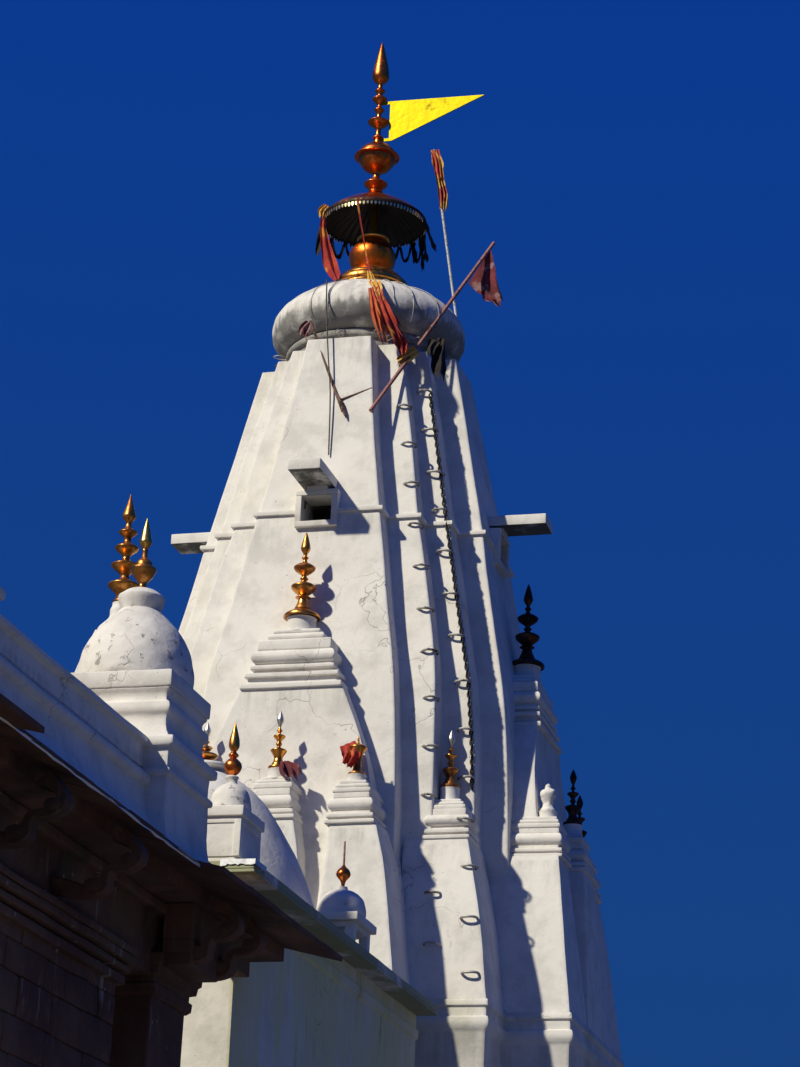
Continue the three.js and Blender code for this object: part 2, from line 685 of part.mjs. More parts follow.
function buildPorch() {
  const inner = hallHalf - porchBeam;
  const wallFront = porchFront + porchBack - porchWallBack;
  const side = (sign) => {
    const [x0, x1] = sign > 0 ? [inner, hallHalf] : [-hallHalf, -inner];
    const beam = block(x0, x1, porchFront, porchBack, porchBeamBottom, porchBeamTop);
    const wall = block(x0, x1, wallFront, porchWallBack, floorLevel, porchBeamBottom);
    const nearPost = block(x0, x1, porchFront, porchFront + pillar, floorLevel, porchBeamBottom);
    const farPost = block(x0, x1, porchBack - pillar, porchBack, floorLevel, porchBeamBottom);
    return join([beam, wall, nearPost, farPost]);
  };
  add(temple, 'porch_side_right', side(1), stone);
  add(temple, 'porch_side_left', side(-1), stone);
  const beamY = (from) => block(-inner, inner, from, from + porchBeam, porchBeamBottom, porchBeamTop);
  add(temple, 'porch_beam_front', beamY(porchFront), stone);
  add(temple, 'porch_beam_back', beamY(porchBack - porchBeam), stone);
  buildPorchRoof();
}

// The roof leaves a court open between the two halls; its eaves run on along both sides of it
function buildPorchRoof() {
  const notch = hallHalf + 20;
  const notchFront = domedFront - 30;
  const outline = (half, front, rear) => [[-half, front], [half, front], [half, rear], [-half, rear]];
  const slope = loft([
    { level: porchBeamTop, outline: outline(porchEave, porchEaveFront, porchEaveBack) },
    { level: porchBeamTop + porchEaveEdge, outline: outline(porchEave, porchEaveFront, porchEaveBack) },
    { level: porchRoofTop, outline: outline(roofOuter, parapetFront, roofBack) },
  ]);
  const setBack = (x0, x1) => (
    block(x0, x1, narrowEaveFront, narrowEaveBack, porchBeamTop - 1, porchRoofTop + 1));
  const eave = slope.subtract(setBack(narrowEave, porchEave + 1))
    .subtract(setBack(-porchEave - 1, -narrowEave));
  const hallClear = block(-notch, notch, notchFront, porchEaveBack + 10, porchBeamTop - 1, porchRoofTop + 1);
  const court = block(-courtHalf, courtHalf, courtFront, notchFront + 1, porchBeamTop - 1, porchRoofTop + 1);
  add(temple, 'porch_roof', eave.subtract(hallClear).subtract(court), stone);
  const parapet = (x0, x1, y0, y1) => block(x0, x1, y0, y1, porchRoofTop, parapetTop);
  const parapetBack = pavilionFar + 560;
  add(temple, 'porch_parapet_right', parapet(parapetInner, parapetOuter, parapetFront, parapetBack), white);
  add(temple, 'porch_parapet_left', parapet(-parapetOuter, -parapetInner, parapetFront, parapetBack), white);
  add(temple, 'porch_parapet_front',
    parapet(-parapetInner, parapetInner, parapetFront, parapetFront + 340), white);
  for (const [place, y] of [['front', pavilionNear], ['back', pavilionFar]]) {
    add(temple, `porch_pavilion_${place}_right`, porchPavilion(1), white, [pavilionSide, y, porchRoofTop]);
    add(temple, `porch_pavilion_${place}_left`, porchPavilion(-1), white, [-pavilionSide, y, porchRoofTop]);
  }
}

// A domed pavilion on a moulded square pedestal that sits astride the parapet
function porchPavilion(sign) {
  const level = (half, from, to) => block(-half, half, -half, half, from, to);
  const pedestal = join([
    level(565, 0, 310), level(590, 310, 375), level(570, 375, 575), level(610, 575, 655),
    level(545, 655, 715), level(500, 715, 900), level(528, 900, 985), level(497, 985, 1075),
    level(515, 1075, 1115), level(530, 1115, 1270),
  ]);
  const dome = turned([[0, 1269], [515, 1269], [520, 1350], [505, 1480], [460, 1620], [385, 1750],
    [290, 1870], [210, 1960], [185, 2010], [206, 2080], [195, 2130], [140, 2175], [60, 2200],
    [45, 2250], [107, 2385], [75, 2440], [25, 2540], [54, 2645], [0, 2888]], 16);
  const wall = [(parapetInner - pavilionSide - joint) * sign, (parapetOuter - pavilionSide + joint) * sign];
  const saddle = block(Math.min(...wall), Math.max(...wall), -1000, 1000, -1,
    parapetTop - porchRoofTop + joint);
  return pedestal.add(dome).subtract(saddle);
}

buildPlinth();
buildShrine();
buildTower();
buildFaces();
buildCrown();
buildPennant();
buildPoles();
buildDomedHall();
buildPorch();

export default temple;
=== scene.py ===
import bmesh
import bpy
import math
import random
from mathutils import Matrix, Vector, noise


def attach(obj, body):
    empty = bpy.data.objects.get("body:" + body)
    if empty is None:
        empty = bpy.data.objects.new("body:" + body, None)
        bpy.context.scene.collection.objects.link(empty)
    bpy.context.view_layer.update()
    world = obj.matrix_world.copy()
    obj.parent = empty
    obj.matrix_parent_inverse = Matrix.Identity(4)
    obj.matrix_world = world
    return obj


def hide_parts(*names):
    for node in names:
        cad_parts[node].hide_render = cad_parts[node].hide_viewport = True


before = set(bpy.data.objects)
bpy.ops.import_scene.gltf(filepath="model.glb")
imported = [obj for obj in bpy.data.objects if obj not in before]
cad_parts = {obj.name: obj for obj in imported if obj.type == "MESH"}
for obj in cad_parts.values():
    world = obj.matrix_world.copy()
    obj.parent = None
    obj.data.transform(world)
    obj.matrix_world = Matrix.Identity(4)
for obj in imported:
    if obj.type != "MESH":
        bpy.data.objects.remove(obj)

noise.seed_set(7)        # unseeded noise starts from the clock, and no two runs would agree
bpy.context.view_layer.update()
scene = bpy.context.scene
faceNames = ("front", "right", "back", "left")
plinthTop = 0.9004        # the halls' floor, a hair above the plinth's stones
print("frame loaded:", len(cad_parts), "nodes")


# Camera, lights and floor

view = {
    "eye": (10.934, -36.868, 0.462),
    "yaw": 15.668,
    "pitch": 20.21,
    "roll": 2.369,
    "focalPixels": 2895.9,
    "longSidePixels": 1067,
    "sensor": 36,
}


def addCamera():
    yaw, pitch, roll = (math.radians(view[key]) for key in ("yaw", "pitch", "roll"))
    forward = Vector((-math.sin(yaw) * math.cos(pitch), math.cos(yaw) * math.cos(pitch), math.sin(pitch)))
    level = Vector((math.cos(yaw), math.sin(yaw), 0))
    upright = level.cross(forward)
    right = level * math.cos(roll) + upright * math.sin(roll)
    up = upright * math.cos(roll) - level * math.sin(roll)
    data = bpy.data.cameras.new("camera")
    data.sensor_width = view["sensor"]
    data.lens = view["sensor"] * view["focalPixels"] / view["longSidePixels"]
    data.clip_end = 500
    camera = bpy.data.objects.new("camera", data)
    camera.matrix_world = Matrix((right, up, -forward)).transposed().to_4x4()
    camera.location = view["eye"]
    scene.collection.objects.link(camera)
    scene.camera = camera


lighting = {
    "keyFrom": (-0.62, -0.8, 0.86),     # high on the left, in front
    "keyPower": 4.1,
    "keyAngle": 2.0,                     # degrees: wide enough for soft edges
    "keyColor": (1.0, 0.94, 0.765),
    "zenith": (0.006, 0.1, 0.7),
    "horizon": (0.03, 0.155, 0.48),
    "skyPower": 0.4,
}


def addLights():
    data = bpy.data.lights.new("key", "SUN")
    data.energy = lighting["keyPower"]
    data.angle = math.radians(lighting["keyAngle"])
    data.color = lighting["keyColor"]
    key = bpy.data.objects.new("key", data)
    key.rotation_euler = Vector(lighting["keyFrom"]).to_track_quat("Z", "Y").to_euler()
    scene.collection.objects.link(key)
    world = bpy.data.worlds.new("studio")
    world.use_nodes = True
    tree = world.node_tree
    coords = addNode(tree, "ShaderNodeTexCoord")
    height = addNode(tree, "ShaderNodeSeparateXYZ", {}, {"Vector": coords.outputs["Generated"]})
    ramp = addNode(tree, "ShaderNodeValToRGB", {}, {"Fac": height.outputs["Z"]})
    ramp.color_ramp.elements[0].color = (*lighting["horizon"], 1)
    ramp.color_ramp.elements[1].color = (*lighting["zenith"], 1)
    ramp.color_ramp.elements[1].position = 0.55
    background = tree.nodes["Background"]
    feed(tree, background.inputs["Strength"], lighting["skyPower"])
    feed(tree, background.inputs["Color"], ramp.outputs["Color"])
    scene.world = world
    scene.view_settings.view_transform = "Standard"


# Shader building

class Value:
    def __init__(self, shader, socket):
        self.shader = shader
        self.socket = socket

    def __add__(self, other):
        return self.shader.math("ADD", self, other)

    def __sub__(self, other):
        return self.shader.math("SUBTRACT", self, other)

    def __rsub__(self, other):
        return self.shader.math("SUBTRACT", other, self)

    def __mul__(self, other):
        return self.shader.math("MULTIPLY", self, other)

    def most(self, other):
        return self.shader.math("MAXIMUM", self, other)

    __radd__, __rmul__ = __add__, __mul__


# Gives a socket a value, or a link from another socket
def feed(tree, target, value):
    if isinstance(value, Value):
        value = value.socket
    if isinstance(value, bpy.types.NodeSocket):
        tree.links.new(value, target)
    elif hasattr(target.default_value, "__len__") and len(target.default_value) == len(value) + 1:
        target.default_value = (*value, 1)          # a colour without its alpha
    else:
        target.default_value = value


def addNode(tree, kind, settings={}, sockets={}):
    made = tree.nodes.new(kind)
    for key, value in settings.items():
        setattr(made, key, value)
    for key, value in sockets.items():
        feed(tree, made.inputs[key], value)
    return made


class Shader:
    def __init__(self, name):
        self.material = bpy.data.materials.new(name)
        self.material.use_nodes = True
        self.tree = self.material.node_tree
        self.tree.nodes.clear()
        self.place = self.node("ShaderNodeTexCoord").outputs["Object"]

    def node(self, kind, settings={}, sockets={}):
        return addNode(self.tree, kind, settings, sockets)

    def value(self, kind, settings, sockets, output=0):
        return Value(self, self.node(kind, settings, sockets).outputs[output])

    def math(self, operation, a, b):
        return self.value("ShaderNodeMath", {"operation": operation}, {0: a, 1: b})

    def stretched(self, scale, offset=(0, 0, 0)):
        sockets = {"Vector": self.place, "Scale": scale, "Location": offset}
        return self.node("ShaderNodeMapping", {}, sockets).outputs["Vector"]

    def noise(self, scale, detail=3, roughness=0.55, place=None):
        return self.value("ShaderNodeTexNoise", {}, {"Vector": place or self.place, "Scale": scale,
                                                     "Detail": detail, "Roughness": roughness}, "Fac")

    def cells(self, scale, feature="F1", place=None):
        sockets = {"Vector": place or self.place, "Scale": scale}
        return self.value("ShaderNodeTexVoronoi", {"feature": feature}, sockets, "Distance")

    def band(self, value, low, high):
        return self.value("ShaderNodeMapRange", {"interpolation_type": "SMOOTHSTEP"},
                          {"Value": value, "From Min": low, "From Max": high}, "Result")

    def axis(self, name):
        return self.value("ShaderNodeSeparateXYZ", {}, {"Vector": self.place}, name)

    def mix(self, mask, a, b):
        made = self.node("ShaderNodeMix", {"data_type": "RGBA"})
        for key, value in (("Factor_Float", mask), ("A_Color", a), ("B_Color", b)):
            feed(self.tree, next(s for s in made.inputs if s.identifier == key), value)
        return next(s for s in made.outputs if s.identifier == "Result_Color")

    def finish(self, sockets, height=None, relief=0.01, strength=1.0):
        if height is not None:
            bump = self.node("ShaderNodeBump", {}, {"Height": height, "Distance": relief,
                                                    "Strength": strength})
            sockets["Normal"] = bump.outputs["Normal"]
        principled = self.node("ShaderNodeBsdfPrincipled", {}, sockets)
        self.node("ShaderNodeOutputMaterial", {}, {"Surface": principled.outputs["BSDF"]})
        return self.material


# Lime-washed plaster: warm white coats with rain stains, pock marks and hair cracks
plaster = {
    "fresh": (0.77, 0.74, 0.685),
    "old": (0.6, 0.575, 0.53),
    "cream": (0.72, 0.655, 0.52),
    "grime": (0.2, 0.195, 0.175),
    "crack": (0.16, 0.14, 0.12),
    "blister": (0.27, 0.255, 0.235),
    # near-black used for painted shade below a level, and for some real soot on the crown
    "darkening": (0.085, 0.085, 0.08),
    "moss": (0.3, 0.31, 0.17),
    "lichen": (0.72, 0.68, 0.31),
}


def makePlaster(name, stain=0.3, flaking=0.3, creamy=0.25, drips=(), dripPower=0.4, moss=0.0, darkening=None,
                flanks=0.0):
    s = Shader(name)
    broad = s.noise(0.45, 4)
    mottle = s.noise(2.6, 6, 0.62)
    grain = s.noise(26, 4, 0.6)
    worn = s.band(mottle, 0.42, 0.66)
    color = s.mix(worn * 0.7, plaster["fresh"], plaster["old"])
    color = s.mix(s.band(broad, 0.5, 0.72) * creamy, color, plaster["cream"])
    runs = s.noise(1.0, 5, 0.6, s.stretched((3.2, 3.2, 0.3)))
    thinRuns = s.noise(1.0, 3, 0.5, s.stretched((14, 14, 0.6), (3, 1, 0)))
    patches = s.noise(0.8, 4, 0.6)
    streak = s.band(runs * 0.7 + thinRuns * 0.3, 0.52, 0.74)
    rain = streak * s.band(patches, 0.46, 0.66) * stain
    height = s.axis("Z")
    for top, reach in drips:
        below = s.band(top - height, 0.0, 0.05) * (1 - s.band(top - height, 0.02, reach))
        rain = rain.most(below * s.band(runs * 0.6 + thinRuns * 0.4, 0.42, 0.66) * dripPower)
    color = s.mix(rain, color, plaster["grime"])
    # Darker below a level: painted shade, on the crown partly real soot
    if darkening:
        top, power = darkening
        edge = top - height + (s.noise(3.1, 4) - 0.5) * 0.5 + (thinRuns - 0.5) * 0.3
        color = s.mix(s.band(edge, 0.0, 0.16) * s.band(mottle, 0.25, 0.5) * power, color, plaster["darkening"])
    if moss:
        growth = s.noise(1.3, 5, 0.6, s.stretched((1, 1, 0.7), (7, 2, 4)))
        damp = s.band(growth, 0.48 - 0.2 * moss, 0.66 - 0.2 * moss)
        color = s.mix(damp * moss, color, plaster["moss"])
    if flanks:
        flank = s.band(s.math("ABSOLUTE", s.axis("X"), 0.0), flanks - 0.02, flanks)
        color = s.mix(flank * s.band(broad * 0.5 + runs * 0.5, 0.3, 0.58) * 0.85, color, plaster["lichen"])
        dirt = flank * s.band(runs, 0.6, 0.68) * s.band(patches, 0.45, 0.6) * 0.8
        color = s.mix(dirt, color, plaster["grime"])
    spots = 1 - s.band(s.cells(7, "F1", s.stretched((1, 1, 0.8))), 0.03, 0.1)
    pocks = spots * s.band(s.noise(1.7, 2), 0.54, 0.68)
    drift = s.node("ShaderNodeTexNoise", {}, {"Vector": s.place, "Scale": 2.2, "Detail": 3})
    bent = s.node("ShaderNodeVectorMath", {"operation": "ADD"}, {0: s.place, 1: drift.outputs["Color"]})
    net = s.cells(0.75, "DISTANCE_TO_EDGE", bent.outputs["Vector"])
    crack = (1 - s.band(net, 0.001, 0.006)) * s.band(s.noise(0.6, 2), 0.54, 0.64)
    low = 0.66 - 0.07 * flaking
    bare = s.band(patches, 0.4, 0.6).most((flaking - 0.45) * 1.7)
    flakes = s.band(s.noise(9.0, 5, 0.7), low, low + 0.05) * bare * flaking
    specks = (1 - s.band(s.cells(13), 0.05, 0.12)) * s.band(s.noise(2.9, 2), 0.46, 0.6)
    color = s.mix(flakes * 0.85, color, plaster["blister"])
    color = s.mix(pocks.most(specks) * 0.75, color, plaster["blister"])
    color = s.mix(crack * 0.45, color, plaster["crack"])
    relief = (mottle * 0.5 + grain * 0.14 + s.noise(9, 3) * 0.35
              - pocks * 0.5 - crack * 0.6 - flakes * 0.6)
    roughness = 0.8 + worn * 0.1 + rain * 0.05
    return s.finish({"Base Color": color, "Roughness": roughness, "Specular IOR Level": 0.3},
                    relief, 0.03, 0.5)


# Old sandstone, brown and red, with lime splashes, soot and a little moss
def makeStone(name, pale=0.3):
    s = Shader(name)
    broad = s.noise(0.9, 5)
    mottle = s.noise(5.5, 6, 0.65)
    grain = s.noise(48, 3, 0.6)
    color = s.mix(s.band(broad, 0.35, 0.68), (0.105, 0.044, 0.026), (0.175, 0.092, 0.055))
    color = s.mix(s.band(mottle, 0.5, 0.72) * 0.6, color, (0.21, 0.115, 0.07))
    color = s.mix(s.band(s.noise(1.6, 4), 0.56, 0.7) * 0.5, color, (0.105, 0.095, 0.045))
    darkening = s.band(s.noise(1.1, 5, 0.6, s.stretched((1, 1, 0.5))), 0.5, 0.7)
    color = s.mix(darkening * 0.7, color, (0.03, 0.019, 0.014))
    runs = s.noise(1.0, 5, 0.65, s.stretched((7, 7, 0.8), (2, 5, 0)))
    lime = s.band(runs, 0.58, 0.72) * s.band(s.noise(1.3, 3), 0.46, 0.62) * pale
    splash = (1 - s.band(s.cells(6.5), 0.04, 0.18)) * s.band(s.noise(2.1, 2), 0.52, 0.64) * pale
    lime = lime.most(splash)
    color = s.mix(lime, color, (0.52, 0.47, 0.4))
    relief = mottle * 0.7 + grain * 0.3 + s.noise(14, 4) * 0.5
    roughness = 0.82 + mottle * 0.12 - lime * 0.05
    return s.finish({"Base Color": color, "Roughness": roughness, "Specular IOR Level": 0.35},
                    relief, 0.02, 0.8)


# Sheet copper and brass, bright where it is rubbed and brown where it is old
def makeMetal(name, bright, aged, age=0.5, green=0.0, shine=0.24):
    s = Shader(name)
    cloud = s.noise(3.2, 5, 0.6)
    fine = s.noise(17, 4, 0.6)
    tarnish = s.band(cloud * 0.65 + fine * 0.35, 0.62 - 0.3 * age, 0.8 - 0.3 * age)
    color = s.mix(tarnish, bright, aged)
    runs = s.band(s.noise(1.0, 4, 0.6, s.stretched((16, 16, 1.3))), 0.52, 0.68)
    color = s.mix(runs * age * 0.6, color, tuple(part * 0.5 for part in aged))
    color = s.mix(s.band(s.noise(5, 4), 0.56, 0.7) * green, color, (0.1, 0.22, 0.15))
    roughness = shine + tarnish * 0.3 + fine * 0.12
    metallic = 1.0 - tarnish * 0.25
    dents = s.noise(6.0, 2) * 0.7 + fine * 0.15
    return s.finish({"Base Color": color, "Roughness": roughness, "Metallic": metallic}, dents, 0.012, 0.5)


def makeIron(name, paint, rust, bare=0.5):
    s = Shader(name)
    spot = s.noise(21, 5, 0.65)
    along = s.noise(4, 3)
    mask = s.band(spot * 0.6 + along * 0.4, 0.58 - 0.2 * bare, 0.7 - 0.2 * bare)
    color = s.mix(mask, paint, rust)
    color = s.mix(s.band(s.noise(60, 2), 0.55, 0.7) * 0.4, color, tuple(part * 0.45 for part in rust))
    return s.finish({"Base Color": color, "Roughness": 0.55 + mask * 0.35, "Metallic": 0.25},
                    spot + s.noise(70, 2) * 0.4, 0.004, 0.6)


# Sun-bleached cloth: a plain weave, faded along its length, with paler patches
def makeCloth(name, deep, faded, patch=None, weave=260, sheen=0.15):
    s = Shader(name)
    fade = s.band(s.noise(3.1, 4), 0.38, 0.66)
    color = s.mix(fade, deep, faded)
    if patch:
        color = s.mix(s.band(s.noise(4.3, 3, 0.5, s.stretched((1, 1, 1), (4, 2, 7))), 0.56, 0.63),
                      color, patch)
    dirt = s.band(s.noise(7.5, 5), 0.55, 0.75)
    color = s.mix(dirt * 0.5, color, tuple(part * 0.35 for part in deep))
    warp = s.value("ShaderNodeTexWave", {"wave_type": "BANDS", "bands_direction": "Z"},
                   {"Vector": s.place, "Scale": weave}, "Fac")
    relief = warp * 0.4 + s.noise(30, 3)
    return s.finish({"Base Color": color, "Roughness": 0.88 - fade * 0.05, "Sheen Weight": sheen},
                    relief, 0.004, 0.5)


# Painted pool of light: pale under the building, and darker further out, so that little light comes back up
# from it
def makeFloor():
    s = Shader("floorPale")
    across = s.stretched((1, 0.5, 1), (0, 4.7, 0))
    away = s.value("ShaderNodeVectorMath", {"operation": "LENGTH"}, {0: across}, "Value")
    color = s.mix(s.band(away, 5.5, 17.0), (0.44, 0.43, 0.41), (0.05, 0.054, 0.065))
    return s.finish({"Base Color": color, "Roughness": 0.9})


materials = {
    "tower": makePlaster("limewash_tower", 0.22, 0.15, 0.3, ((14.12, 0.7), (17.0, 0.9)), 0.3),
    "spires": makePlaster("limewash_spires", 0.3, 0.3, 0.3, ((11.45, 0.6), (9.47, 0.6)), 0.3),
    # The crown's plaster is darker below 17.64 m: painted shade under the bun's bulge and on the neck, partly
    # real soot
    "crown": makePlaster("limewash_crown", 0.4, 0.5, 0.15, ((18.2, 1.0), (17.24, 0.3)), 0.6, 0.0,
                         (17.64, 0.72)),
    "dome": makePlaster("limewash_dome", 0.35, 1.0, 0.3),
    "collar": makePlaster("limewash_collar", 0.6, 0.6, 0.1),
    # Painted shade: a plaster darkened almost all over, for the room, the window openings and the canopy
    # undersides
    "paintedShadeInside": makePlaster("soot_inside", 0.8, 0.2, 0.0, (), 0.0, 0.0, (30.0, 0.97)),
    "smoothDome": makePlaster("limewash_smooth", 0.25, 0.15, 0.2),
    "hallWalls": makePlaster("limewash_hall_walls", 0.3, 0.3, 0.45, ((7.02, 1.8),), 0.3, 0.15, None, 2.025),
    "hall": makePlaster("limewash_hall", 0.26, 0.3, 0.45, ((7.02, 1.8),), 0.3, 0.3),
    "roofEdge": makePlaster("limewash_roof_edge", 0.45, 0.5, 0.3, (), 0.0, 0.95),
    "parapet": makePlaster("limewash_parapet", 0.35, 0.3, 0.1, ((7.16, 0.3),), 0.35),
    "stone": makeStone("brown_stone", 0.55),
    "plinthStone": makeStone("plinth_stone", 0.25),
    "carved": makeStone("carved_stone", 0.1),
    "copper": makeMetal("copper_red", (0.78, 0.2, 0.04), (0.22, 0.05, 0.018), 0.36),
    # Painted light: a brighter copy of the copper, for the crown pot that lies in the parasol's shadow
    "litPotCopper": makeMetal("copper_pot", (0.92, 0.21, 0.028), (0.34, 0.055, 0.014), 0.26, 0.0, 0.3),
    "brass": makeMetal("brass_gold", (0.66, 0.29, 0.065), (0.2, 0.06, 0.022), 0.52),
    "gold": makeMetal("brass_bright", (0.8, 0.5, 0.12), (0.36, 0.16, 0.045), 0.34),
    "spearMetal": makeMetal("spear_pale", (0.7, 0.66, 0.58), (0.3, 0.24, 0.17), 0.4, 0.0, 0.36),
    "darkCopper": makeMetal("copper_black", (0.15, 0.062, 0.036), (0.026, 0.017, 0.014), 0.75, 0.12, 0.34),
    "giltSheet": makeMetal("gilt_sheet", (0.46, 0.38, 0.01), (0.34, 0.24, 0.01), 0.2, 0.0, 0.46),
    "blackened": makeIron("blackened_sheet", (0.012, 0.011, 0.01), (0.055, 0.032, 0.02), 0.3),
    "iron": makeIron("iron_painted", (0.4, 0.385, 0.36), (0.1, 0.055, 0.035), 0.35),
    "darkPole": makeIron("stick_dark", (0.15, 0.075, 0.055), (0.045, 0.022, 0.016), 0.5),
    "rustyPole": makeIron("pole_rust", (0.42, 0.19, 0.15), (0.15, 0.055, 0.035), 0.45),
    "greyPole": makeIron("pole_grey", (0.42, 0.44, 0.46), (0.11, 0.08, 0.065), 0.3),
    "redCloth": makeCloth("cloth_red", (0.11, 0.007, 0.013), (0.22, 0.022, 0.03), (0.3, 0.16, 0.15)),
    "orangeCloth": makeCloth("cloth_orange", (0.46, 0.026, 0.014), (0.64, 0.13, 0.022)),
    "yellowCloth": makeCloth("cloth_yellow", (0.66, 0.34, 0.035), (0.74, 0.5, 0.12), (0.42, 0.05, 0.03)),
    "scarletCloth": makeCloth("cloth_scarlet", (0.34, 0.012, 0.01), (0.52, 0.05, 0.016), (0.6, 0.2, 0.025)),
    "darkLeaves": makeCloth("dry_leaves", (0.01, 0.007, 0.006), (0.028, 0.019, 0.011), None, 260, 0.0),
    "toothMetal": makeMetal("fringe_brass", (0.9, 0.74, 0.38), (0.5, 0.33, 0.13), 0.2),
    "lead": makeMetal("sheet_lead", (0.66, 0.67, 0.68), (0.42, 0.42, 0.42), 0.4, 0.0, 0.45),
}
print("materials made:", len(materials))


# Mesh building

def addPiece(name, bm, material, replaced=(), sharp=34, fix=True):
    bmesh.ops.remove_doubles(bm, verts=bm.verts, dist=0.00005)
    if fix:
        bmesh.ops.recalc_face_normals(bm, faces=bm.faces)
    mesh = bpy.data.meshes.new(name)
    bm.to_mesh(mesh)
    bm.free()
    return addMesh(name, mesh, material, replaced, sharp)


def addMesh(name, mesh, material, replaced, sharp):
    mesh.name = name
    mesh.shade_smooth()
    mesh.set_sharp_from_angle(angle=math.radians(sharp))
    mesh.materials.clear()
    mesh.materials.append(materials[material])
    piece = bpy.data.objects.new(name, mesh)
    scene.collection.objects.link(piece)
    if replaced:
        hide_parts(*replaced)
    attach(piece, "root")
    return piece


def hermite(a, b, slopeA, slopeB, t):
    return (a * (2 * t ** 3 - 3 * t ** 2 + 1) + slopeA * (t ** 3 - 2 * t ** 2 + t)
            + b * (3 * t ** 2 - 2 * t ** 3) + slopeB * (t ** 3 - t ** 2))


# More rows between measured ones, on a smooth curve through them; the first value of a row is its level
def smoothRows(rows, spacing):
    last = len(rows) - 1
    slopes = []
    for i in range(len(rows)):
        low, high = rows[max(i - 1, 0)], rows[min(i + 1, last)]
        slopes.append([(q - p) / (high[0] - low[0]) for p, q in zip(low, high)])
    made = []
    for i in range(last):
        rise = rows[i + 1][0] - rows[i][0]
        count = max(1, round(rise / spacing))
        for k in range(count):
            made.append([hermite(p, q, m * rise, n * rise, k / count)
                         for p, q, m, n in zip(rows[i], rows[i + 1], slopes[i], slopes[i + 1])])
    made.append(list(rows[-1]))
    return made


# How many points go between two corners, so that no stretch is longer than a cell
def cutsFor(corners, cell):
    count = len(corners)
    return [int((corners[(i + 1) % count] - corners[i]).length / cell) for i in range(count)]


# A closed outline with its corners rounded
def rounded(corners, radius, cuts, arc=3):
    count = len(corners)
    ends = []
    for i, corner in enumerate(corners):
        back = corners[i - 1] - corner
        ahead = corners[(i + 1) % count] - corner
        reach = min(radius, back.length * 0.35, ahead.length * 0.35)
        ends.append((corner + back.normalized() * reach, corner + ahead.normalized() * reach))
    points = []
    for i, corner in enumerate(corners):
        start, end = ends[i]
        for k in range(arc + 1):
            t = k / arc
            points.append(start * (1 - t) ** 2 + corner * (2 * t * (1 - t)) + end * t * t)
        goal = ends[(i + 1) % count][0]
        stretch = (goal - end).length
        near = min(0.02, stretch * 0.2) / max(stretch, 1e-6)
        for k in range(cuts[i] + 2):
            t = near + (1 - 2 * near) * k / (cuts[i] + 1)
            points.append(end.lerp(goal, t))
    return points


# Faces between rings of points; closed joins the last ring to the first again
def joinRings(bm, rings, closed=False):
    rows = [[bm.verts.new(point) for point in ring] for ring in rings]
    count = len(rows[0])
    for low, high in zip(rows, rows[1:] + rows[:closed]):
        for i in range(count):
            j = (i + 1) % count
            bm.faces.new((low[i], low[j], high[j], high[i]))
    return rows


def loft(bm, rings):
    rows = joinRings(bm, rings)
    bm.faces.new(rows[0][::-1])
    bm.faces.new(rows[-1])


def onCircle(radius, turn, level=0):
    return Vector((radius * math.cos(turn), radius * math.sin(turn), level))


# Two distances from the middle on the side that a sign gives, the lower one first
def span(sign, a, b):
    return sorted((sign * a, sign * b))


def rectangle(x0, x1, y0, y1):
    return [Vector((x0, y0)), Vector((x1, y0)), Vector((x1, y1)), Vector((x0, y1))]


def lift(points, level):
    return [Vector((p.x, p.y, level)) for p in points]


# The rows of one slab with rounded edges, as (inset, level) pairs
def slabEdge(low, high, nose, steps=3):
    nose = min(nose, (high - low) / 2)
    rise = [(nose * (1 - math.sin(math.pi / 2 * k / steps)), nose * (1 - math.cos(math.pi / 2 * k / steps)))
            for k in range(steps + 1)]
    return [(inset, low + up) for inset, up in rise] + [(inset, high - up) for inset, up in rise[::-1]]


# A block with soft edges, cut fine enough to take an uneven surface
def softBlock(bm, x0, x1, y0, y1, z0, z1, nose=0.014, cell=0.4):
    cuts = cutsFor(rectangle(x0, x1, y0, y1), cell)
    rows = slabEdge(z0, z1, nose)
    middle = int((z1 - z0) / cell)
    half = len(rows) // 2
    low, high = rows[half - 1], rows[half]
    between = [(0.0, low[1] + (high[1] - low[1]) * (k + 1) / (middle + 1)) for k in range(middle)]
    rings = []
    for inset, level in rows[:half] + between + rows[half:]:
        corners = rectangle(x0 + inset, x1 - inset, y0 + inset, y1 - inset)
        rings.append(lift(rounded(corners, nose, cuts, 2), level))
    loft(bm, rings)


# A body with a rectangular plan that changes with its level: rows of (level, x0, x1, y0, y1)
def softStack(bm, rows, radius=0.018, cell=0.35):
    widest = max(rows, key=lambda row: row[2] - row[1])
    cuts = cutsFor(rectangle(*widest[1:]), cell)
    loft(bm, [lift(rounded(rectangle(*row[1:]), radius, cuts, 2), row[0]) for row in rows])


def turnedRings(profile, centre, segments, flute=0.0, flutes=0):
    rings = []
    for radius, level in profile:
        ring = []
        for k in range(segments):
            angle = 2 * math.pi * k / segments
            r = radius * (1 + flute * math.cos(flutes * angle))
            ring.append(Vector((centre[0] + r * math.cos(angle), centre[1] + r * math.sin(angle), level)))
        rings.append(ring)
    return rings


# A round body from (radius, level) pairs; both ends are closed on the axis
def turned(bm, profile, centre=(0, 0), segments=48, flute=0.0, flutes=0):
    rows = joinRings(bm, turnedRings(profile, centre, segments, flute, flutes))
    for row, level, turn in ((rows[0], profile[0][1], 1), (rows[-1], profile[-1][1], 0)):
        tip = bm.verts.new((centre[0], centre[1], level))
        for i in range(segments):
            bm.faces.new((row[(i + turn) % segments], row[(i + 1 - turn) % segments], tip))


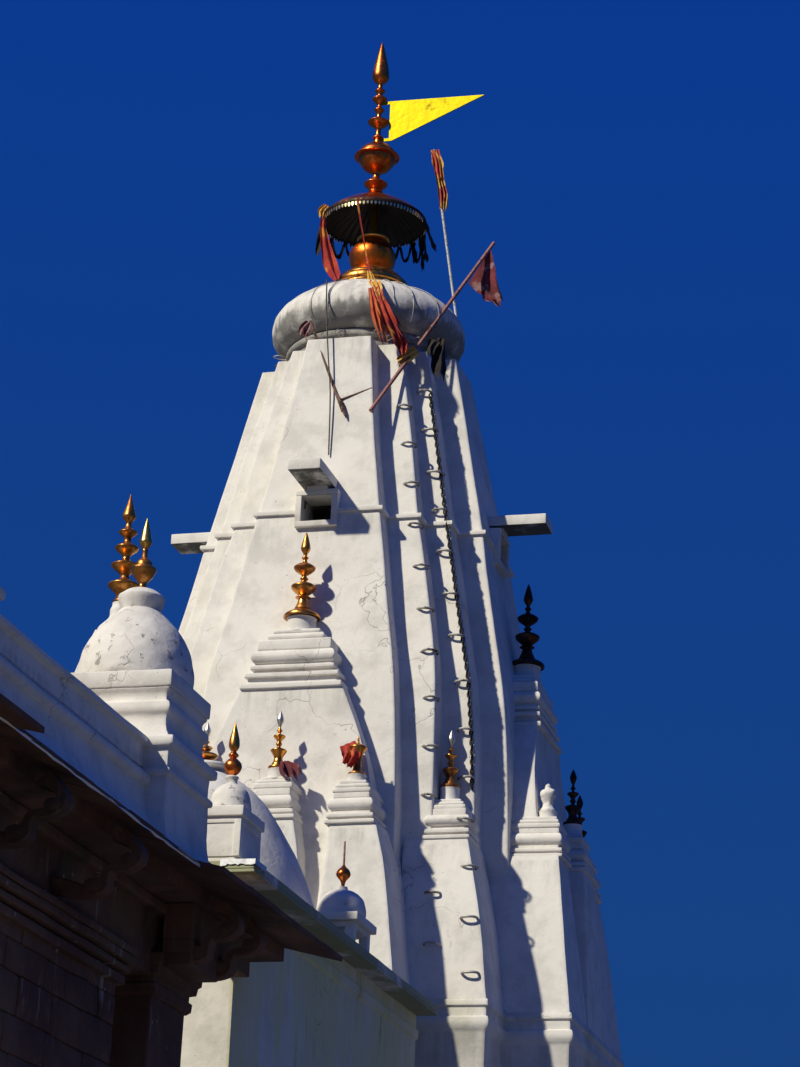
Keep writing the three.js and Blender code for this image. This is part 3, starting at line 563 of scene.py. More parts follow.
# A smooth curve through (radius, level) knots; a knot with a 1 after it stays a corner
def curved(knots, steps=5):
    knots = [knot[:2] for knot in knots for _ in knot[1:]]
    made = []
    last = len(knots) - 1
    for i in range(last):
        a, b = knots[i], knots[i + 1]
        if a == b:
            continue
        before = knots[i - 1] if i > 0 and knots[i - 1] != a else a
        after = knots[i + 2] if i + 2 <= last and knots[i + 2] != b else b
        slopeA = [(q - p) * (0.5 if before != a else 1) for p, q in zip(before, b)]
        slopeB = [(q - p) * (0.5 if after != b else 1) for p, q in zip(a, after)]
        for k in range(steps):
            made.append(tuple(hermite(p, q, m, n, k / steps) for p, q, m, n in zip(a, b, slopeA, slopeB)))
    made.append(tuple(knots[-1]))
    return [(max(r, 0.0006), level) for r, level in made]


# The number at a place in a list that may lie between two of its numbers
def valueAt(values, place):
    low = min(int(place), len(values) - 2)
    return values[low] + (values[low + 1] - values[low]) * (place - low)


# Points on a smooth line through the given ones
def spline(knots, steps=4):
    knots = [Vector(knot) for knot in knots]
    last = len(knots) - 1
    made = []
    for i in range(last):
        a, b = knots[i], knots[i + 1]
        slopeA = (b - knots[max(i - 1, 0)]) * (0.5 if i else 1)
        slopeB = (knots[min(i + 2, last)] - a) * (0.5 if i + 1 < last else 1)
        made += [hermite(a, b, slopeA, slopeB, k / steps) for k in range(steps)]
    made.append(knots[-1])
    return made


# Hand-laid plaster is never flat: every point moves a little, the same for points that coincide
def unevenness(bm, broad=0.01, fine=0.003, broadScale=0.9, fineScale=4.5, seed=0.0):
    shift = Vector((seed, seed * 0.7, -seed))
    for vert in bm.verts:
        place = vert.co + shift
        vert.co += (noise.noise_vector(place * broadScale) * broad
                    + noise.noise_vector(place * fineScale) * fine)


def turnAll(bm, times):
    bmesh.ops.rotate(bm, verts=bm.verts, cent=(0, 0, 0), matrix=Matrix.Rotation(times * math.pi / 2, 3, "Z"))


# Keeps every point between two levels, and in front of what stands behind
def hold(bm, low=-math.inf, high=math.inf, back=math.inf):
    for vert in bm.verts:
        vert.co.z = min(max(vert.co.z, low), high)
        vert.co.y = min(vert.co.y, back)


# The corners of one quarter, repeated on all four sides
def fourTimes(quarter):
    corners = []
    for times in range(4):
        for x, y in quarter:
            for _ in range(times):
                x, y = -y, x
            corners.append(Vector((x, y)))
    return corners


# A round piece of its own, from the knots of its outline
def turnedPiece(name, knots, material, steps=4, slot="aged_copper", sharp=50, replaced=(), rough=(), times=0,
                **shape):
    bm = bmesh.new()
    turned(bm, curved(knots, steps), **shape)
    turnAll(bm, times)
    if rough:
        unevenness(bm, *rough)
    return addPiece(name, bm, material, replaced, sharp)


def boxBody(x0, x1, y0, y1, z0, z1):
    bm = bmesh.new()
    loft(bm, [lift(rectangle(x0, x1, y0, y1), z0), lift(rectangle(x0, x1, y0, y1), z1)])
    return bm


def solidSize(mesh):
    bm = bmesh.new()
    bm.from_mesh(mesh)
    volume = abs(bm.calc_volume(signed=True))
    bm.free()
    reach = [max((side * vert.co[axis] for vert in mesh.vertices), default=0)
             for axis in range(3) for side in (1, -1)]
    return volume, reach


# Cuts bodies out of a piece; a cut that leaves nothing, or the uncut body, is made again with moved cutters
def carve(piece, bodies):
    cutters = []
    volume, reach = solidSize(piece.data)
    for body in bodies:
        bmesh.ops.recalc_face_normals(body, faces=body.faces)
        mesh = bpy.data.meshes.new("cutter")
        body.to_mesh(mesh)
        body.free()
        cutter = bpy.data.objects.new("cutter", mesh)
        scene.collection.objects.link(cutter)
        cutters.append(cutter)
        modifier = piece.modifiers.new("opening", "BOOLEAN")
        modifier.object = cutter
        modifier.solver = "EXACT"
    for attempt in range(1, 9):
        graph = bpy.context.evaluated_depsgraph_get()
        mesh = bpy.data.meshes.new_from_object(piece.evaluated_get(graph))
        left, reached = solidSize(mesh)
        shrunk = max(abs(a - b) for a, b in zip(reach, reached))
        if 0.02 * volume < left < 0.999 * volume and shrunk < 0.002:
            break
        print("cut again:", piece.name, round(left, 2), "of", round(volume, 2))
        for cutter in cutters:
            for vert in cutter.data.vertices:
                vert.co += Vector((0.0003, 0.0002, 0.0001)) * attempt
            cutter.data.update()
    piece.modifiers.clear()
    piece.data = mesh
    mesh.name = piece.name
    for cutter in cutters:
        bpy.data.objects.remove(cutter)


# Repeats by Geometry Nodes: one shape on every point, with the points' own turn and size

def makeRepeatTree():
    tree = bpy.data.node_groups.new("repeatOnPoints", "GeometryNodeTree")
    for label, kind, way in (("Geometry", "Geometry", "INPUT"), ("Shape", "Object", "INPUT"),
                             ("Finish", "Material", "INPUT"), ("Size Spread", "Float", "INPUT"),
                             ("Turn Spread", "Float", "INPUT"), ("Seed", "Int", "INPUT"),
                             ("Geometry", "Geometry", "OUTPUT")):
        tree.interface.new_socket(label, in_out=way, socket_type="NodeSocket" + kind)

    def add(kind, sockets, **settings):
        return addNode(tree, kind, settings, sockets).outputs

    given = add("NodeGroupInput", {})

    # What a point says about its own turn or size, with a random part within a spread
    def varied(name, operation, centre, socket, shift):
        own = add("GeometryNodeInputNamedAttribute", {"Name": name}, data_type="FLOAT_VECTOR")["Attribute"]
        low, high = (add("ShaderNodeMath", {0: centre, 1: socket}, operation=way)[0]
                     for way in ("SUBTRACT", "ADD"))
        seed = add("ShaderNodeMath", {0: given["Seed"], 1: shift})[0]
        chance = add("FunctionNodeRandomValue", {2: low, 3: high, "Seed": seed}, data_type="FLOAT")[1]
        return add("ShaderNodeVectorMath", {0: own, 1: chance}, operation=operation)["Vector"]

    shape = add("GeometryNodeObjectInfo", {"Object": given["Shape"]})["Geometry"]
    placed = add("GeometryNodeInstanceOnPoints", {
        "Points": given["Geometry"], "Instance": shape,
        "Rotation": varied("turn", "ADD", 0.0, given["Turn Spread"], 1),
        "Scale": varied("size", "MULTIPLY", 1.0, given["Size Spread"], 2)})["Instances"]
    solid = add("GeometryNodeRealizeInstances", {"Geometry": placed})["Geometry"]
    finished = add("GeometryNodeSetMaterial", {"Geometry": solid, "Material": given["Finish"]})["Geometry"]
    add("NodeGroupOutput", {"Geometry": finished})
    return tree


repeatTree = makeRepeatTree()


# spots are (place, turn, size); shape is a bmesh built round the origin
def repeatShape(name, spots, shape, material, replaced, sizeSpread=0.0, turnSpread=0.0, seed=1,
                sharp=34):
    bmesh.ops.recalc_face_normals(shape, faces=shape.faces)
    pattern = bpy.data.meshes.new(name + "_pattern")
    shape.to_mesh(pattern)
    shape.free()
    patternPiece = bpy.data.objects.new(name + "_pattern", pattern)
    scene.collection.objects.link(patternPiece)
    points = bpy.data.meshes.new(name + "_points")
    points.from_pydata([spot[0] for spot in spots], [], [])
    for index, key in ((1, "turn"), (2, "size")):
        attribute = points.attributes.new(key, "FLOAT_VECTOR", "POINT")
        attribute.data.foreach_set("vector", [part for spot in spots for part in spot[index]])
    carrier = bpy.data.objects.new(name, points)
    scene.collection.objects.link(carrier)
    modifier = carrier.modifiers.new("repeat", "NODES")
    modifier.node_group = repeatTree
    given = {"Shape": patternPiece, "Finish": materials[material], "Size Spread": sizeSpread,
             "Turn Spread": turnSpread, "Seed": seed}
    for socket in repeatTree.interface.items_tree:
        if socket.in_out == "INPUT" and socket.name in given:
            modifier[socket.identifier] = given[socket.name]
    graph = bpy.context.evaluated_depsgraph_get()
    mesh = bpy.data.meshes.new_from_object(carrier.evaluated_get(graph))
    bpy.data.objects.remove(carrier)
    bpy.data.objects.remove(patternPiece)
    for key in ("turn", "size"):
        if key in mesh.attributes:
            mesh.attributes.remove(mesh.attributes[key])
    return addMesh(name, mesh, material, replaced, sharp)


# A round bar along points
def bar(bm, points, radius, sides=8, taper=1.0):
    rings = []
    path = [Vector(point) for point in points]
    reference = None
    for i, point in enumerate(path):
        ahead = (path[min(i + 1, len(path) - 1)] - path[max(i - 1, 0)]).normalized()
        if reference is None:
            reference = ahead.orthogonal().normalized()
        reference = (reference - ahead * reference.dot(ahead)).normalized()
        other = ahead.cross(reference)
        r = radius * (1 + (taper - 1) * i / (len(path) - 1))
        rings.append([point + (reference * math.cos(2 * math.pi * k / sides)
                               + other * math.sin(2 * math.pi * k / sides)) * r for k in range(sides)])
    loft(bm, rings)


# The tower: one plaster skin over its four sides and the upper room

towerRows = (       # level, half of the middle strip, first corner, second corner, how far the strip stands out
    (7.4, 1.445, 1.811, 2.278, 2.635),
    (9.78, 1.411, 1.802, 2.25, 2.61),
    (10.8, 1.36, 1.79, 2.219, 2.55),
    (11.82, 1.258, 1.735, 2.12, 2.445),
    (12.84, 1.08, 1.57, 1.915, 2.24),
    (13.52, 0.969, 1.44, 1.78, 2.11),
    (14.2, 0.854, 1.29, 1.636, 1.998),
    (15.27, 0.68, 1.128, 1.437, 1.785),
    (16.325, 0.547, 0.93, 1.23, 1.573),
    (16.98, 0.466, 0.79, 1.105, 1.441),
)
tower = {
    "cell": 0.22,
    "rowHeight": 0.17,
    "edge": 0.03,
    "shaftHalf": 0.6,
    "shaftTop": 14.7,
    "sill": 14.01,
    "windowHalf": 0.212,
    "windowHeight": 0.36,
    "frameSide": 0.085,
    "reach": 4.0,
    "ledge": 0.04,
    "ledgeLow": 14.14,
    "ledgeHigh": 14.195,
}


def steppedQuarter(halfFace, stepOne, stepTwo, out):
    return [(halfFace, -out), (halfFace, -stepTwo), (stepOne, -stepTwo), (stepOne, -stepOne),
            (stepTwo, -stepOne), (stepTwo, -halfFace), (out, -halfFace)]


def towerAt(level):
    for low, high in zip(towerRows, towerRows[1:]):
        if level <= high[0]:
            break
    share = (level - low[0]) / (high[0] - low[0])
    return [p + (q - p) * share for p, q in zip(low, high)]


def buildTower():
    cuts = cutsFor(fourTimes(steppedQuarter(*towerRows[0][1:])), tower["cell"])
    bm = bmesh.new()
    rings = []
    for row in smoothRows(towerRows, tower["rowHeight"]):
        corners = fourTimes(steppedQuarter(*row[1:]))
        rings.append(lift(rounded(corners, tower["edge"], cuts, 3), row[0]))
    loft(bm, rings)
    unevenness(bm)
    names = ["tower_side_" + name for name in faceNames] + ["tower_top"]
    piece = addPiece("tower_plaster", bm, "tower", names, sharp=40)
    half, sill = tower["windowHalf"], tower["sill"]
    top, far, room = sill + tower["windowHeight"], tower["reach"], tower["shaftHalf"]
    carve(piece, (boxBody(-room, room, -room, room, 7.0, tower["shaftTop"]),
                  boxBody(-far, far, -half, half, sill, top),
                  boxBody(-half, half, -far, far, sill, top)))
    piece.data.materials.append(materials["paintedShadeInside"])
    deep = towerAt(sill)[4] - 0.35
    # Painted shade: faces inside the room and the window openings take the dark plaster
    for face in piece.data.polygons:
        x, y, level = (abs(part) for part in face.center)
        inRoom = max(x, y) < room + 0.01 and level < tower["shaftTop"] + 0.01
        if inRoom or (min(x, y) < half + 0.01 and max(x, y) < deep and sill - 0.01 < level < top + 0.01):
            face.material_index = 1
    buildStringCourse()
    buildNeck()


# The thin ledge round the tower at window level stops at the window frames
def buildStringCourse():
    bm = bmesh.new()
    bottom, top = tower["ledgeLow"], tower["ledgeHigh"]
    widths = towerAt(bottom)[1:]
    gap = tower["windowHalf"] + tower["frameSide"] - 0.01
    grow, inside = tower["ledge"], -0.1
    line = [(gap, -widths[3]), *steppedQuarter(*widths), (widths[3], -gap)]
    last = len(line) - 1
    for _ in range(4):
        rows = []
        for away, level in ((inside, bottom), (grow, bottom), (grow * 1.15, (bottom + top) / 2), (grow, top),
                            (inside, top + 0.01)):
            rows.append([bm.verts.new((x + away * (k > 0), y - away * (k < last), level))
                         for k, (x, y) in enumerate(line)])
        for a, b in zip(rows, rows[1:] + rows[:1]):
            for k in range(last):
                bm.faces.new((a[k], a[k + 1], b[k + 1], b[k]))
        for end in (0, last):
            bm.faces.new([row[end] for row in rows])
        turnAll(bm, 1)
    bmesh.ops.subdivide_edges(bm, edges=[e for e in bm.edges if e.calc_length() > 0.3], cuts=3)
    unevenness(bm)
    addPiece("tower_string_course", bm, "tower")


neckKnots = [(1.19, 16.95), (1.195, 17.0), (1.19, 17.04, 1), (1.13, 17.06, 1), (1.125, 17.13), (1.13, 17.13),
    (1.17, 17.15), (1.185, 17.19), (1.175, 17.24)]


def buildNeck():
    turnedPiece("tower_neck", neckKnots, "crown", 3, "whitewash", 34, (), (0.008, 0.004), segments=96)


# Windows

window = {
    "frameOut": 0.09,
    "slabLow": 14.506,
    "slabThickness": 0.15,
    "slabHalf": 0.225,
    "slabOut": 2.74,
    "bracketHalf": 0.14,
    "wallInside": 1.7,
}


def buildWindows():
    half, sill, side = tower["windowHalf"], tower["sill"], tower["frameSide"]
    top, low = sill + tower["windowHeight"], window["slabLow"]
    front = towerAt(sill)[4] + window["frameOut"]
    for times, name in enumerate(faceNames):
        bm = bmesh.new()
        for x0, x1, out, z0, z1, nose, cell in (
                (-half - side, half + side, front, sill - side, sill, 0.012, 0.4),
                (-half - side, half + side, front, top, top + side, 0.012, 0.4),
                (-half - side, -half, front - 0.004, sill - 0.02, top + 0.02, 0.01, 0.4),
                (half, half + side, front - 0.004, sill - 0.02, top + 0.02, 0.01, 0.4),
                (-window["slabHalf"], window["slabHalf"], window["slabOut"], low, low + window["slabThickness"],
                 0.01, 0.2),
                (-window["bracketHalf"], window["bracketHalf"], front, top + side - 0.01, low + 0.01,
                 0.01, 0.4)):
            softBlock(bm, x0, x1, -out, -window["wallInside"], z0, z1, nose, cell)
        turnAll(bm, times)
        unevenness(bm, 0.004, 0.003)
        piece = addPiece("window_frame_" + name, bm, "tower", ("window_" + name,))
        piece.data.materials.append(materials["paintedShadeInside"])
        # Painted shade: the undersides of the window canopies take the dark plaster
        for face in piece.data.polygons:
            if face.normal.z < -0.7 and face.center.z > top:
                face.material_index = 1


# Half-spires that climb each face, with stepped capitals

spireBack = -1.5          # how far they run back into the tower

def capital(bm, centre, tiers):
    rows = []
    for half, out, low, high, nose in tiers:
        for inset, level in slabEdge(low, high, nose):
            rows.append((level, centre - half + inset, centre + half - inset, -out + inset, spireBack))
    softStack(bm, rows, 0.016, 0.3)


def spireBody(bm, rows):
    made = smoothRows(rows, 0.16)
    softStack(bm, [(level, left, right, -out, spireBack) for level, left, right, out in made], 0.026, 0.24)


halfSpires = {
    "large": ((7.4, -1.615, 1.615, 3.4), (8.25, -1.488, 1.488, 3.25), (9.1, -1.36, 1.36, 3.08),
        (9.78, -1.225, 1.225, 2.97), (10.25, -1.131, 1.131, 2.9), (10.59, -1.029, 1.029, 2.86),
        (10.97, -0.893, 0.893, 2.825), (11.47, -0.69, 0.69, 2.8)),
    "largeTiers": ((0.69, 2.84, 11.446, 11.518, 0.012), (0.605, 2.758, 11.514, 11.61, 0.005),
        (0.638, 2.812, 11.605, 11.668, 0.012), (0.535, 2.735, 11.664, 11.724, 0.005),
        (0.57, 2.792, 11.72, 11.772, 0.012), (0.522, 2.738, 11.768, 11.812, 0.005),
        (0.572, 2.8, 11.805, 11.99, 0.085), (0.5, 2.745, 11.985, 12.14, 0.028),
        (0.387, 2.7, 12.135, 12.24, 0.05), (0.32, 2.67, 12.235, 12.3, 0.028)),
    "middle": ((7.4, -0.53, 0.53, 3.53), (9.04, -0.416, 0.416, 3.44), (9.57, -0.305, 0.305, 3.375)),
    "middleTiers": ((0.325, 3.41, 9.555, 9.61, 0.012), (0.284, 3.362, 9.606, 9.632, 0.005),
        (0.3, 3.395, 9.628, 9.68, 0.012), (0.248, 3.34, 9.676, 9.705, 0.005), (0.275, 3.39, 9.7, 9.88, 0.08),
        (0.238, 3.34, 9.876, 9.965, 0.01), (0.26, 3.345, 9.96, 10.04, 0.02),
        (0.225, 3.315, 10.035, 10.09, 0.028), (0.175, 3.28, 10.085, 10.13, 0.018)),
    "side": ((7.4, 0.56, 1.74, 3.53), (8.888, 0.735, 1.513, 3.35), (9.505, 0.74, 1.35, 3.26)),
    "sideCentre": 1.01,
    "sideTiers": ((0.325, 3.3, 9.495, 9.545, 0.012), (0.284, 3.254, 9.541, 9.575, 0.005),
        (0.308, 3.29, 9.571, 9.622, 0.012), (0.26, 3.236, 9.618, 9.668, 0.005),
        (0.298, 3.285, 9.663, 9.838, 0.078), (0.238, 3.235, 9.834, 9.905, 0.01),
        (0.252, 3.245, 9.901, 9.965, 0.018), (0.222, 3.222, 9.961, 10.025, 0.03),
        (0.178, 3.19, 10.021, 10.072, 0.018)),
}


def buildHalfSpires():
    for times, name in enumerate(faceNames):
        bm = bmesh.new()
        for size in ("large", "middle"):
            spireBody(bm, halfSpires[size])
            capital(bm, 0, halfSpires[size + "Tiers"])
        for sign in (1, -1):
            spireBody(bm, [(level, *span(sign, inner, outer), out)
                           for level, inner, outer, out in halfSpires["side"]])
            capital(bm, halfSpires["sideCentre"] * sign, halfSpires["sideTiers"])
        turnAll(bm, times)
        unevenness(bm, 0.009, 0.004, seed=times)
        addPiece("half_spires_plaster_" + name, bm, "spires", ("half_spires_" + name,))


cornerSpires = {
    "inner": 1.76,
    "rows": ((7.4, 2.68), (8.45, 2.54), (9.53, 2.29)),
    "tiers": ((1.7, 2.31, 9.52, 9.572, 0.012), (1.742, 2.262, 9.568, 9.602, 0.005),
        (1.712, 2.298, 9.598, 9.655, 0.012), (1.752, 2.24, 9.651, 9.702, 0.005),
        (1.71, 2.3, 9.698, 9.848, 0.07), (1.745, 2.235, 9.844, 9.932, 0.01), (1.73, 2.22, 9.928, 9.99, 0.018),
        (1.755, 2.19, 9.986, 10.04, 0.028), (1.79, 2.145, 10.036, 10.082, 0.018)),
}


# A corner spire stands in each notch between two faces, as one square stack
def buildCornerSpires():
    inner = cornerSpires["inner"]
    for times, name in enumerate(faceNames):
        bm = bmesh.new()
        rows = [(level, inner - 0.3, far, -far, -inner + 0.3)
                for level, far in smoothRows(cornerSpires["rows"], 0.16)]
        softStack(bm, rows, 0.024, 0.24)
        tierRows = []
        for near, far, low, high, nose in cornerSpires["tiers"]:
            for inset, level in slabEdge(low, high, nose):
                tierRows.append((level, near + inset, far - inset, -far + inset, -near - inset))
        softStack(bm, tierRows, 0.016, 0.3)
        turnAll(bm, times)
        unevenness(bm, 0.009, 0.004, seed=5 + times)
        addPiece("corner_spire_plaster_" + name, bm, "spires", ("corner_spire_" + name,))


# Finials: turned pots, flanged discs and spears

smallFinialKnots = [(0.112, -0.02), (0.12, 0.0), (0.128, 0.018), (0.12, 0.04), (0.086, 0.048, 1),
    (0.082, 0.075), (0.066, 0.105), (0.056, 0.14), (0.06, 0.168), (0.084, 0.208), (0.103, 0.238),
    (0.105, 0.252), (0.098, 0.262, 1), (0.052, 0.276), (0.022, 0.3), (0.036, 0.322), (0.04, 0.342),
    (0.028, 0.364), (0.032, 0.382), (0.058, 0.412), (0.077, 0.432), (0.077, 0.442), (0.07, 0.45, 1),
    (0.028, 0.462), (0.017, 0.486), (0.034, 0.506), (0.036, 0.517), (0.02, 0.537), (0.015, 0.56)]
spearKnots = [(0.014, 0.552), (0.018, 0.57), (0.034, 0.61), (0.047, 0.655), (0.041, 0.692), (0.022, 0.74),
    (0.001, 0.785)]
brokenFinialKnots = [(0.1, -0.02), (0.112, 0.01), (0.106, 0.035), (0.062, 0.048, 1), (0.052, 0.1),
    (0.048, 0.19), (0.066, 0.27), (0.106, 0.335), (0.12, 0.362), (0.114, 0.378, 1), (0.07, 0.405),
    (0.024, 0.425), (0.016, 0.45), (0.012, 0.5), (0.001, 0.525)]
stubKnots = [(0.098, -0.02), (0.108, 0.02), (0.08, 0.06), (0.072, 0.12), (0.098, 0.19), (0.112, 0.24),
    (0.092, 0.29), (0.045, 0.32), (0.03, 0.36), (0.001, 0.395)]
largeFinialKnots = [(0.195, 0.03), (0.236, 0.002), (0.246, 0.012), (0.238, 0.045), (0.2, 0.075), (0.15, 0.1),
    (0.108, 0.118, 1), (0.114, 0.132), (0.104, 0.148, 1), (0.098, 0.165), (0.078, 0.21), (0.066, 0.262),
    (0.072, 0.276), (0.098, 0.286), (0.102, 0.295), (0.08, 0.303), (0.056, 0.313), (0.064, 0.327),
    (0.116, 0.366), (0.156, 0.406), (0.168, 0.436), (0.165, 0.452), (0.146, 0.463, 1), (0.118, 0.48),
    (0.07, 0.497), (0.046, 0.51), (0.036, 0.53), (0.054, 0.548), (0.052, 0.566), (0.034, 0.58), (0.04, 0.603),
    (0.086, 0.637), (0.128, 0.672), (0.144, 0.704), (0.141, 0.72), (0.126, 0.732, 1), (0.1, 0.752),
    (0.055, 0.772), (0.034, 0.79), (0.028, 0.825), (0.045, 0.842), (0.044, 0.857), (0.026, 0.872),
    (0.028, 0.905), (0.05, 0.94), (0.065, 0.978), (0.06, 1.02), (0.044, 1.09), (0.024, 1.16), (0.001, 1.219)]


def shiftKnots(knots, bottom):
    return [(radius, level + bottom, *corner) for radius, level, *corner in knots]


finials = {
    "large": {"out": 2.47, "bottom": 12.49, "drum": (0.2, 12.28)},
    "middle": {"x": 0.0, "out": 3.15, "bottom": 10.25, "drum": (0.135, 10.11)},
    "right": {"x": 1.01, "out": 3.034, "bottom": 10.17, "drum": (0.13, 10.05)},
    "left": {"x": -1.01, "out": 3.034, "bottom": 10.17, "drum": (0.13, 10.05)},
    "corner": {"x": 1.945, "out": 1.945, "bottom": 10.27, "drum": (0.13, 10.06)},
}
finialFinish = {"front": "brass", "right": "darkCopper", "back": "brass", "left": "gold"}


# What stands on each small cap: all are whole but one on the front face and one on the right face
def smallFinialAt(face, spot):
    if (face, spot) == ("front", "right"):
        return brokenFinialKnots
    if (face, spot) == ("right", "left"):
        return stubKnots
    return smallFinialKnots


def buildFinials():
    for times, name in enumerate(faceNames):
        place = finials["large"]
        turnedPiece("large_finial_" + name, shiftKnots(largeFinialKnots, place["bottom"]), finialFinish[name],
                    replaced=("half_spire_finial_" + name,), times=times, centre=(0, -place["out"]),
                    segments=40)
        drums, pots, spears, stub = (bmesh.new() for _ in range(4))
        for spot, facts in finials.items():
            centre = (facts.get("x", 0.0), -facts["out"])
            radius, low = facts["drum"]
            high = facts["bottom"]
            knots = [(radius * 1.04, low), (radius * 0.97, low + 0.04), (radius * 0.95, high - 0.04),
                (radius, high - 0.004)]
            turned(drums, curved(knots, 3), centre, 28)
            if spot == "large":
                continue
            knots = smallFinialAt(name, spot)
            target = stub if knots is stubKnots else pots
            turned(target, curved(shiftKnots(knots, high), 4), centre, 22)
            if knots is smallFinialKnots:
                turned(spears, curved(shiftKnots(spearKnots, high), 4), centre, 16)
        for bm in (drums, pots, spears, stub):
            turnAll(bm, times)
        unevenness(drums, 0.006, 0.004)
        addPiece("finial_drums_" + name, drums, "spires")
        addPiece("small_finials_" + name, pots, finialFinish[name], (), 50)
        addPiece("finial_spears_" + name, spears, "darkCopper" if name == "right" else "spearMetal",
                 (), 50)
        if len(stub.verts):
            unevenness(stub, 0.012, 0.01, 6, 18)
            addPiece("finial_stub_" + name, stub, "dome")
        else:
            stub.free()


# The crown: ribbed stone bun, gilt ring, pots, parasol and spear

crown = {
    "amalaka": [(1.12, 17.2404), (1.29, 17.34), (1.38, 17.48), (1.4, 17.6), (1.378, 17.73), (1.295, 17.86),
        (1.15, 17.985), (0.95, 18.11), (0.74, 18.21), (0.56, 18.275), (0.53, 18.29)],
    "ring": [(0.53, 18.2904), (0.548, 18.32), (0.545, 18.345), (0.528, 18.36), (0.548, 18.38), (0.55, 18.41),
        (0.54, 18.45), (0.512, 18.486, 1), (0.48, 18.49, 1), (0.472, 18.52), (0.44, 18.56), (0.385, 18.6, 1),
        (0.24, 18.604)],
    "pot": [(0.235, 18.6045), (0.243, 18.63), (0.268, 18.68), (0.315, 18.76), (0.339, 18.84), (0.343, 18.9),
        (0.33, 18.97), (0.295, 19.03), (0.258, 19.08), (0.236, 19.12), (0.215, 19.165)],
    "lip": [(0.205, 19.15), (0.238, 19.17), (0.24, 19.19), (0.222, 19.206), (0.19, 19.215, 1), (0.07, 19.23),
        (0.062, 19.26), (0.062, 19.84)],
}


def buildCrown():
    turnedPiece("amalaka_plaster", crown["amalaka"], "crown", 5, "whitewash", 34, ("amalaka",),
                (0.012, 0.006, 1.2, 5), segments=144, flute=0.003, flutes=36)
    turnedPiece("crown_ring", crown["ring"], "brass", 3, sharp=34, segments=64)
    # The pot takes the brightened copper: painted light
    turnedPiece("crown_pot_copper", crown["pot"], "litPotCopper", 5, replaced=("crown_pot",), segments=64)
    turnedPiece("crown_pot_lip", crown["lip"], "gold", segments=64)
    buildParasol()
    turnedPiece("top_finial_turned", topFinialKnots, "copper", sharp=60, replaced=("top_finial",), segments=48)


parasol = {
    "rim": 0.755,
    "rimLevel": 19.496,
    "ribs": 36,
    "teeth": 84,
    "toothLength": 0.075,
}


def buildParasol():
    top = [(0.062, 19.94), (0.15, 19.905), (0.24, 19.85), (0.42, 19.757), (0.6, 19.645), (0.735, 19.535),
        (0.755, 19.5, 1), (0.757, 19.462)]
    bm = bmesh.new()
    skin = curved(top, 4)
    inner = [(r - 0.006, z - 0.008) for r, z in skin[::-1]]
    joinRings(bm, turnedRings(skin + inner, (0, 0), 96), True)
    addPiece("parasol_top", bm, "copper", ("parasol",))
    under = [(0.75, 19.44), (0.748, 19.47), (0.64, 19.575), (0.45, 19.7), (0.25, 19.8), (0.1, 19.83)]
    bm = bmesh.new()
    count = parasol["ribs"] * 4
    rings = []
    for radius, level in curved(under, 4):
        ring = []
        for k in range(count):
            angle = 2 * math.pi * k / count
            drop = 0.014 * (1 + math.cos(parasol["ribs"] * angle)) * min(1, radius / 0.3)
            ring.append(onCircle(radius, angle, level - drop))
        rings.append(ring)
    lining = [[Vector((p.x, p.y, p.z + 0.012)) for p in ring] for ring in rings]
    joinRings(bm, rings + lining[::-1], True)
    addPiece("parasol_lining", bm, "blackened", ())
    buildFringe()


# Small brass teeth on a band round the rim
def buildFringe():
    tooth = bmesh.new()
    long = parasol["toothLength"]
    outline = [(0.013, 0), (0.018, -long * 0.45), (0.013, -long * 0.8), (0, -long), (-0.013, -long * 0.8),
        (-0.018, -long * 0.45), (-0.013, 0)]
    front = [tooth.verts.new((-0.006, x, z)) for x, z in outline]
    rear = [tooth.verts.new((0.006, x, z)) for x, z in outline]
    tooth.faces.new(front)
    tooth.faces.new(rear[::-1])
    for i in range(len(outline)):
        j = (i + 1) % len(outline)
        tooth.faces.new((front[i], rear[i], rear[j], front[j]))
    spots = []
    for k in range(parasol["teeth"]):
        angle = 2 * math.pi * k / parasol["teeth"]
        place = onCircle(parasol["rim"] + 0.004, angle, parasol["rimLevel"] - 0.028)
        spots.append((place, (0, 0, angle), (1, 1, 1)))
    repeatShape("parasol_fringe", spots, tooth, "toothMetal", (), 0.14, 0.0, 3)
    bm = bmesh.new()
    band = [(0.752, 19.455), (0.772, 19.458), (0.775, 19.475), (0.775, 19.49), (0.768, 19.506), (0.75, 19.508)]
    joinRings(bm, turnedRings(band, (0, 0), 96), True)
    addPiece("parasol_rim_band", bm, "darkCopper", ())


topFinialKnots = [(0.062, 19.9404), (0.095, 19.95), (0.11, 19.97), (0.08, 20.0), (0.115, 20.03), (0.17, 20.085),
    (0.17, 20.11), (0.1, 20.16), (0.058, 20.2), (0.055, 20.27), (0.09, 20.3), (0.175, 20.345), (0.245, 20.43),
    (0.272, 20.515), (0.268, 20.53, 1), (0.328, 20.536), (0.336, 20.548), (0.326, 20.562), (0.285, 20.575, 1),
    (0.262, 20.64), (0.19, 20.715), (0.105, 20.765), (0.06, 20.785, 1), (0.055, 20.84, 1), (0.078, 20.855),
    (0.08, 20.88), (0.045, 20.905), (0.038, 21.0), (0.06, 21.04), (0.12, 21.085), (0.16, 21.125), (0.16, 21.14),
    (0.13, 21.16), (0.05, 21.195), (0.036, 21.27), (0.06, 21.31), (0.078, 21.34), (0.06, 21.365),
    (0.036, 21.39), (0.034, 21.43), (0.075, 21.475), (0.108, 21.51), (0.108, 21.53), (0.06, 21.56),
    (0.04, 21.59), (0.055, 21.635), (0.08, 21.66), (0.055, 21.685), (0.036, 21.71), (0.036, 21.78),
    (0.085, 21.815), (0.118, 21.86), (0.127, 21.91), (0.122, 21.98), (0.1, 22.11), (0.066, 22.26),
    (0.03, 22.41), (0.001, 22.5)]


# The shrine's lower walls and its ceiling course, in one plaster skin

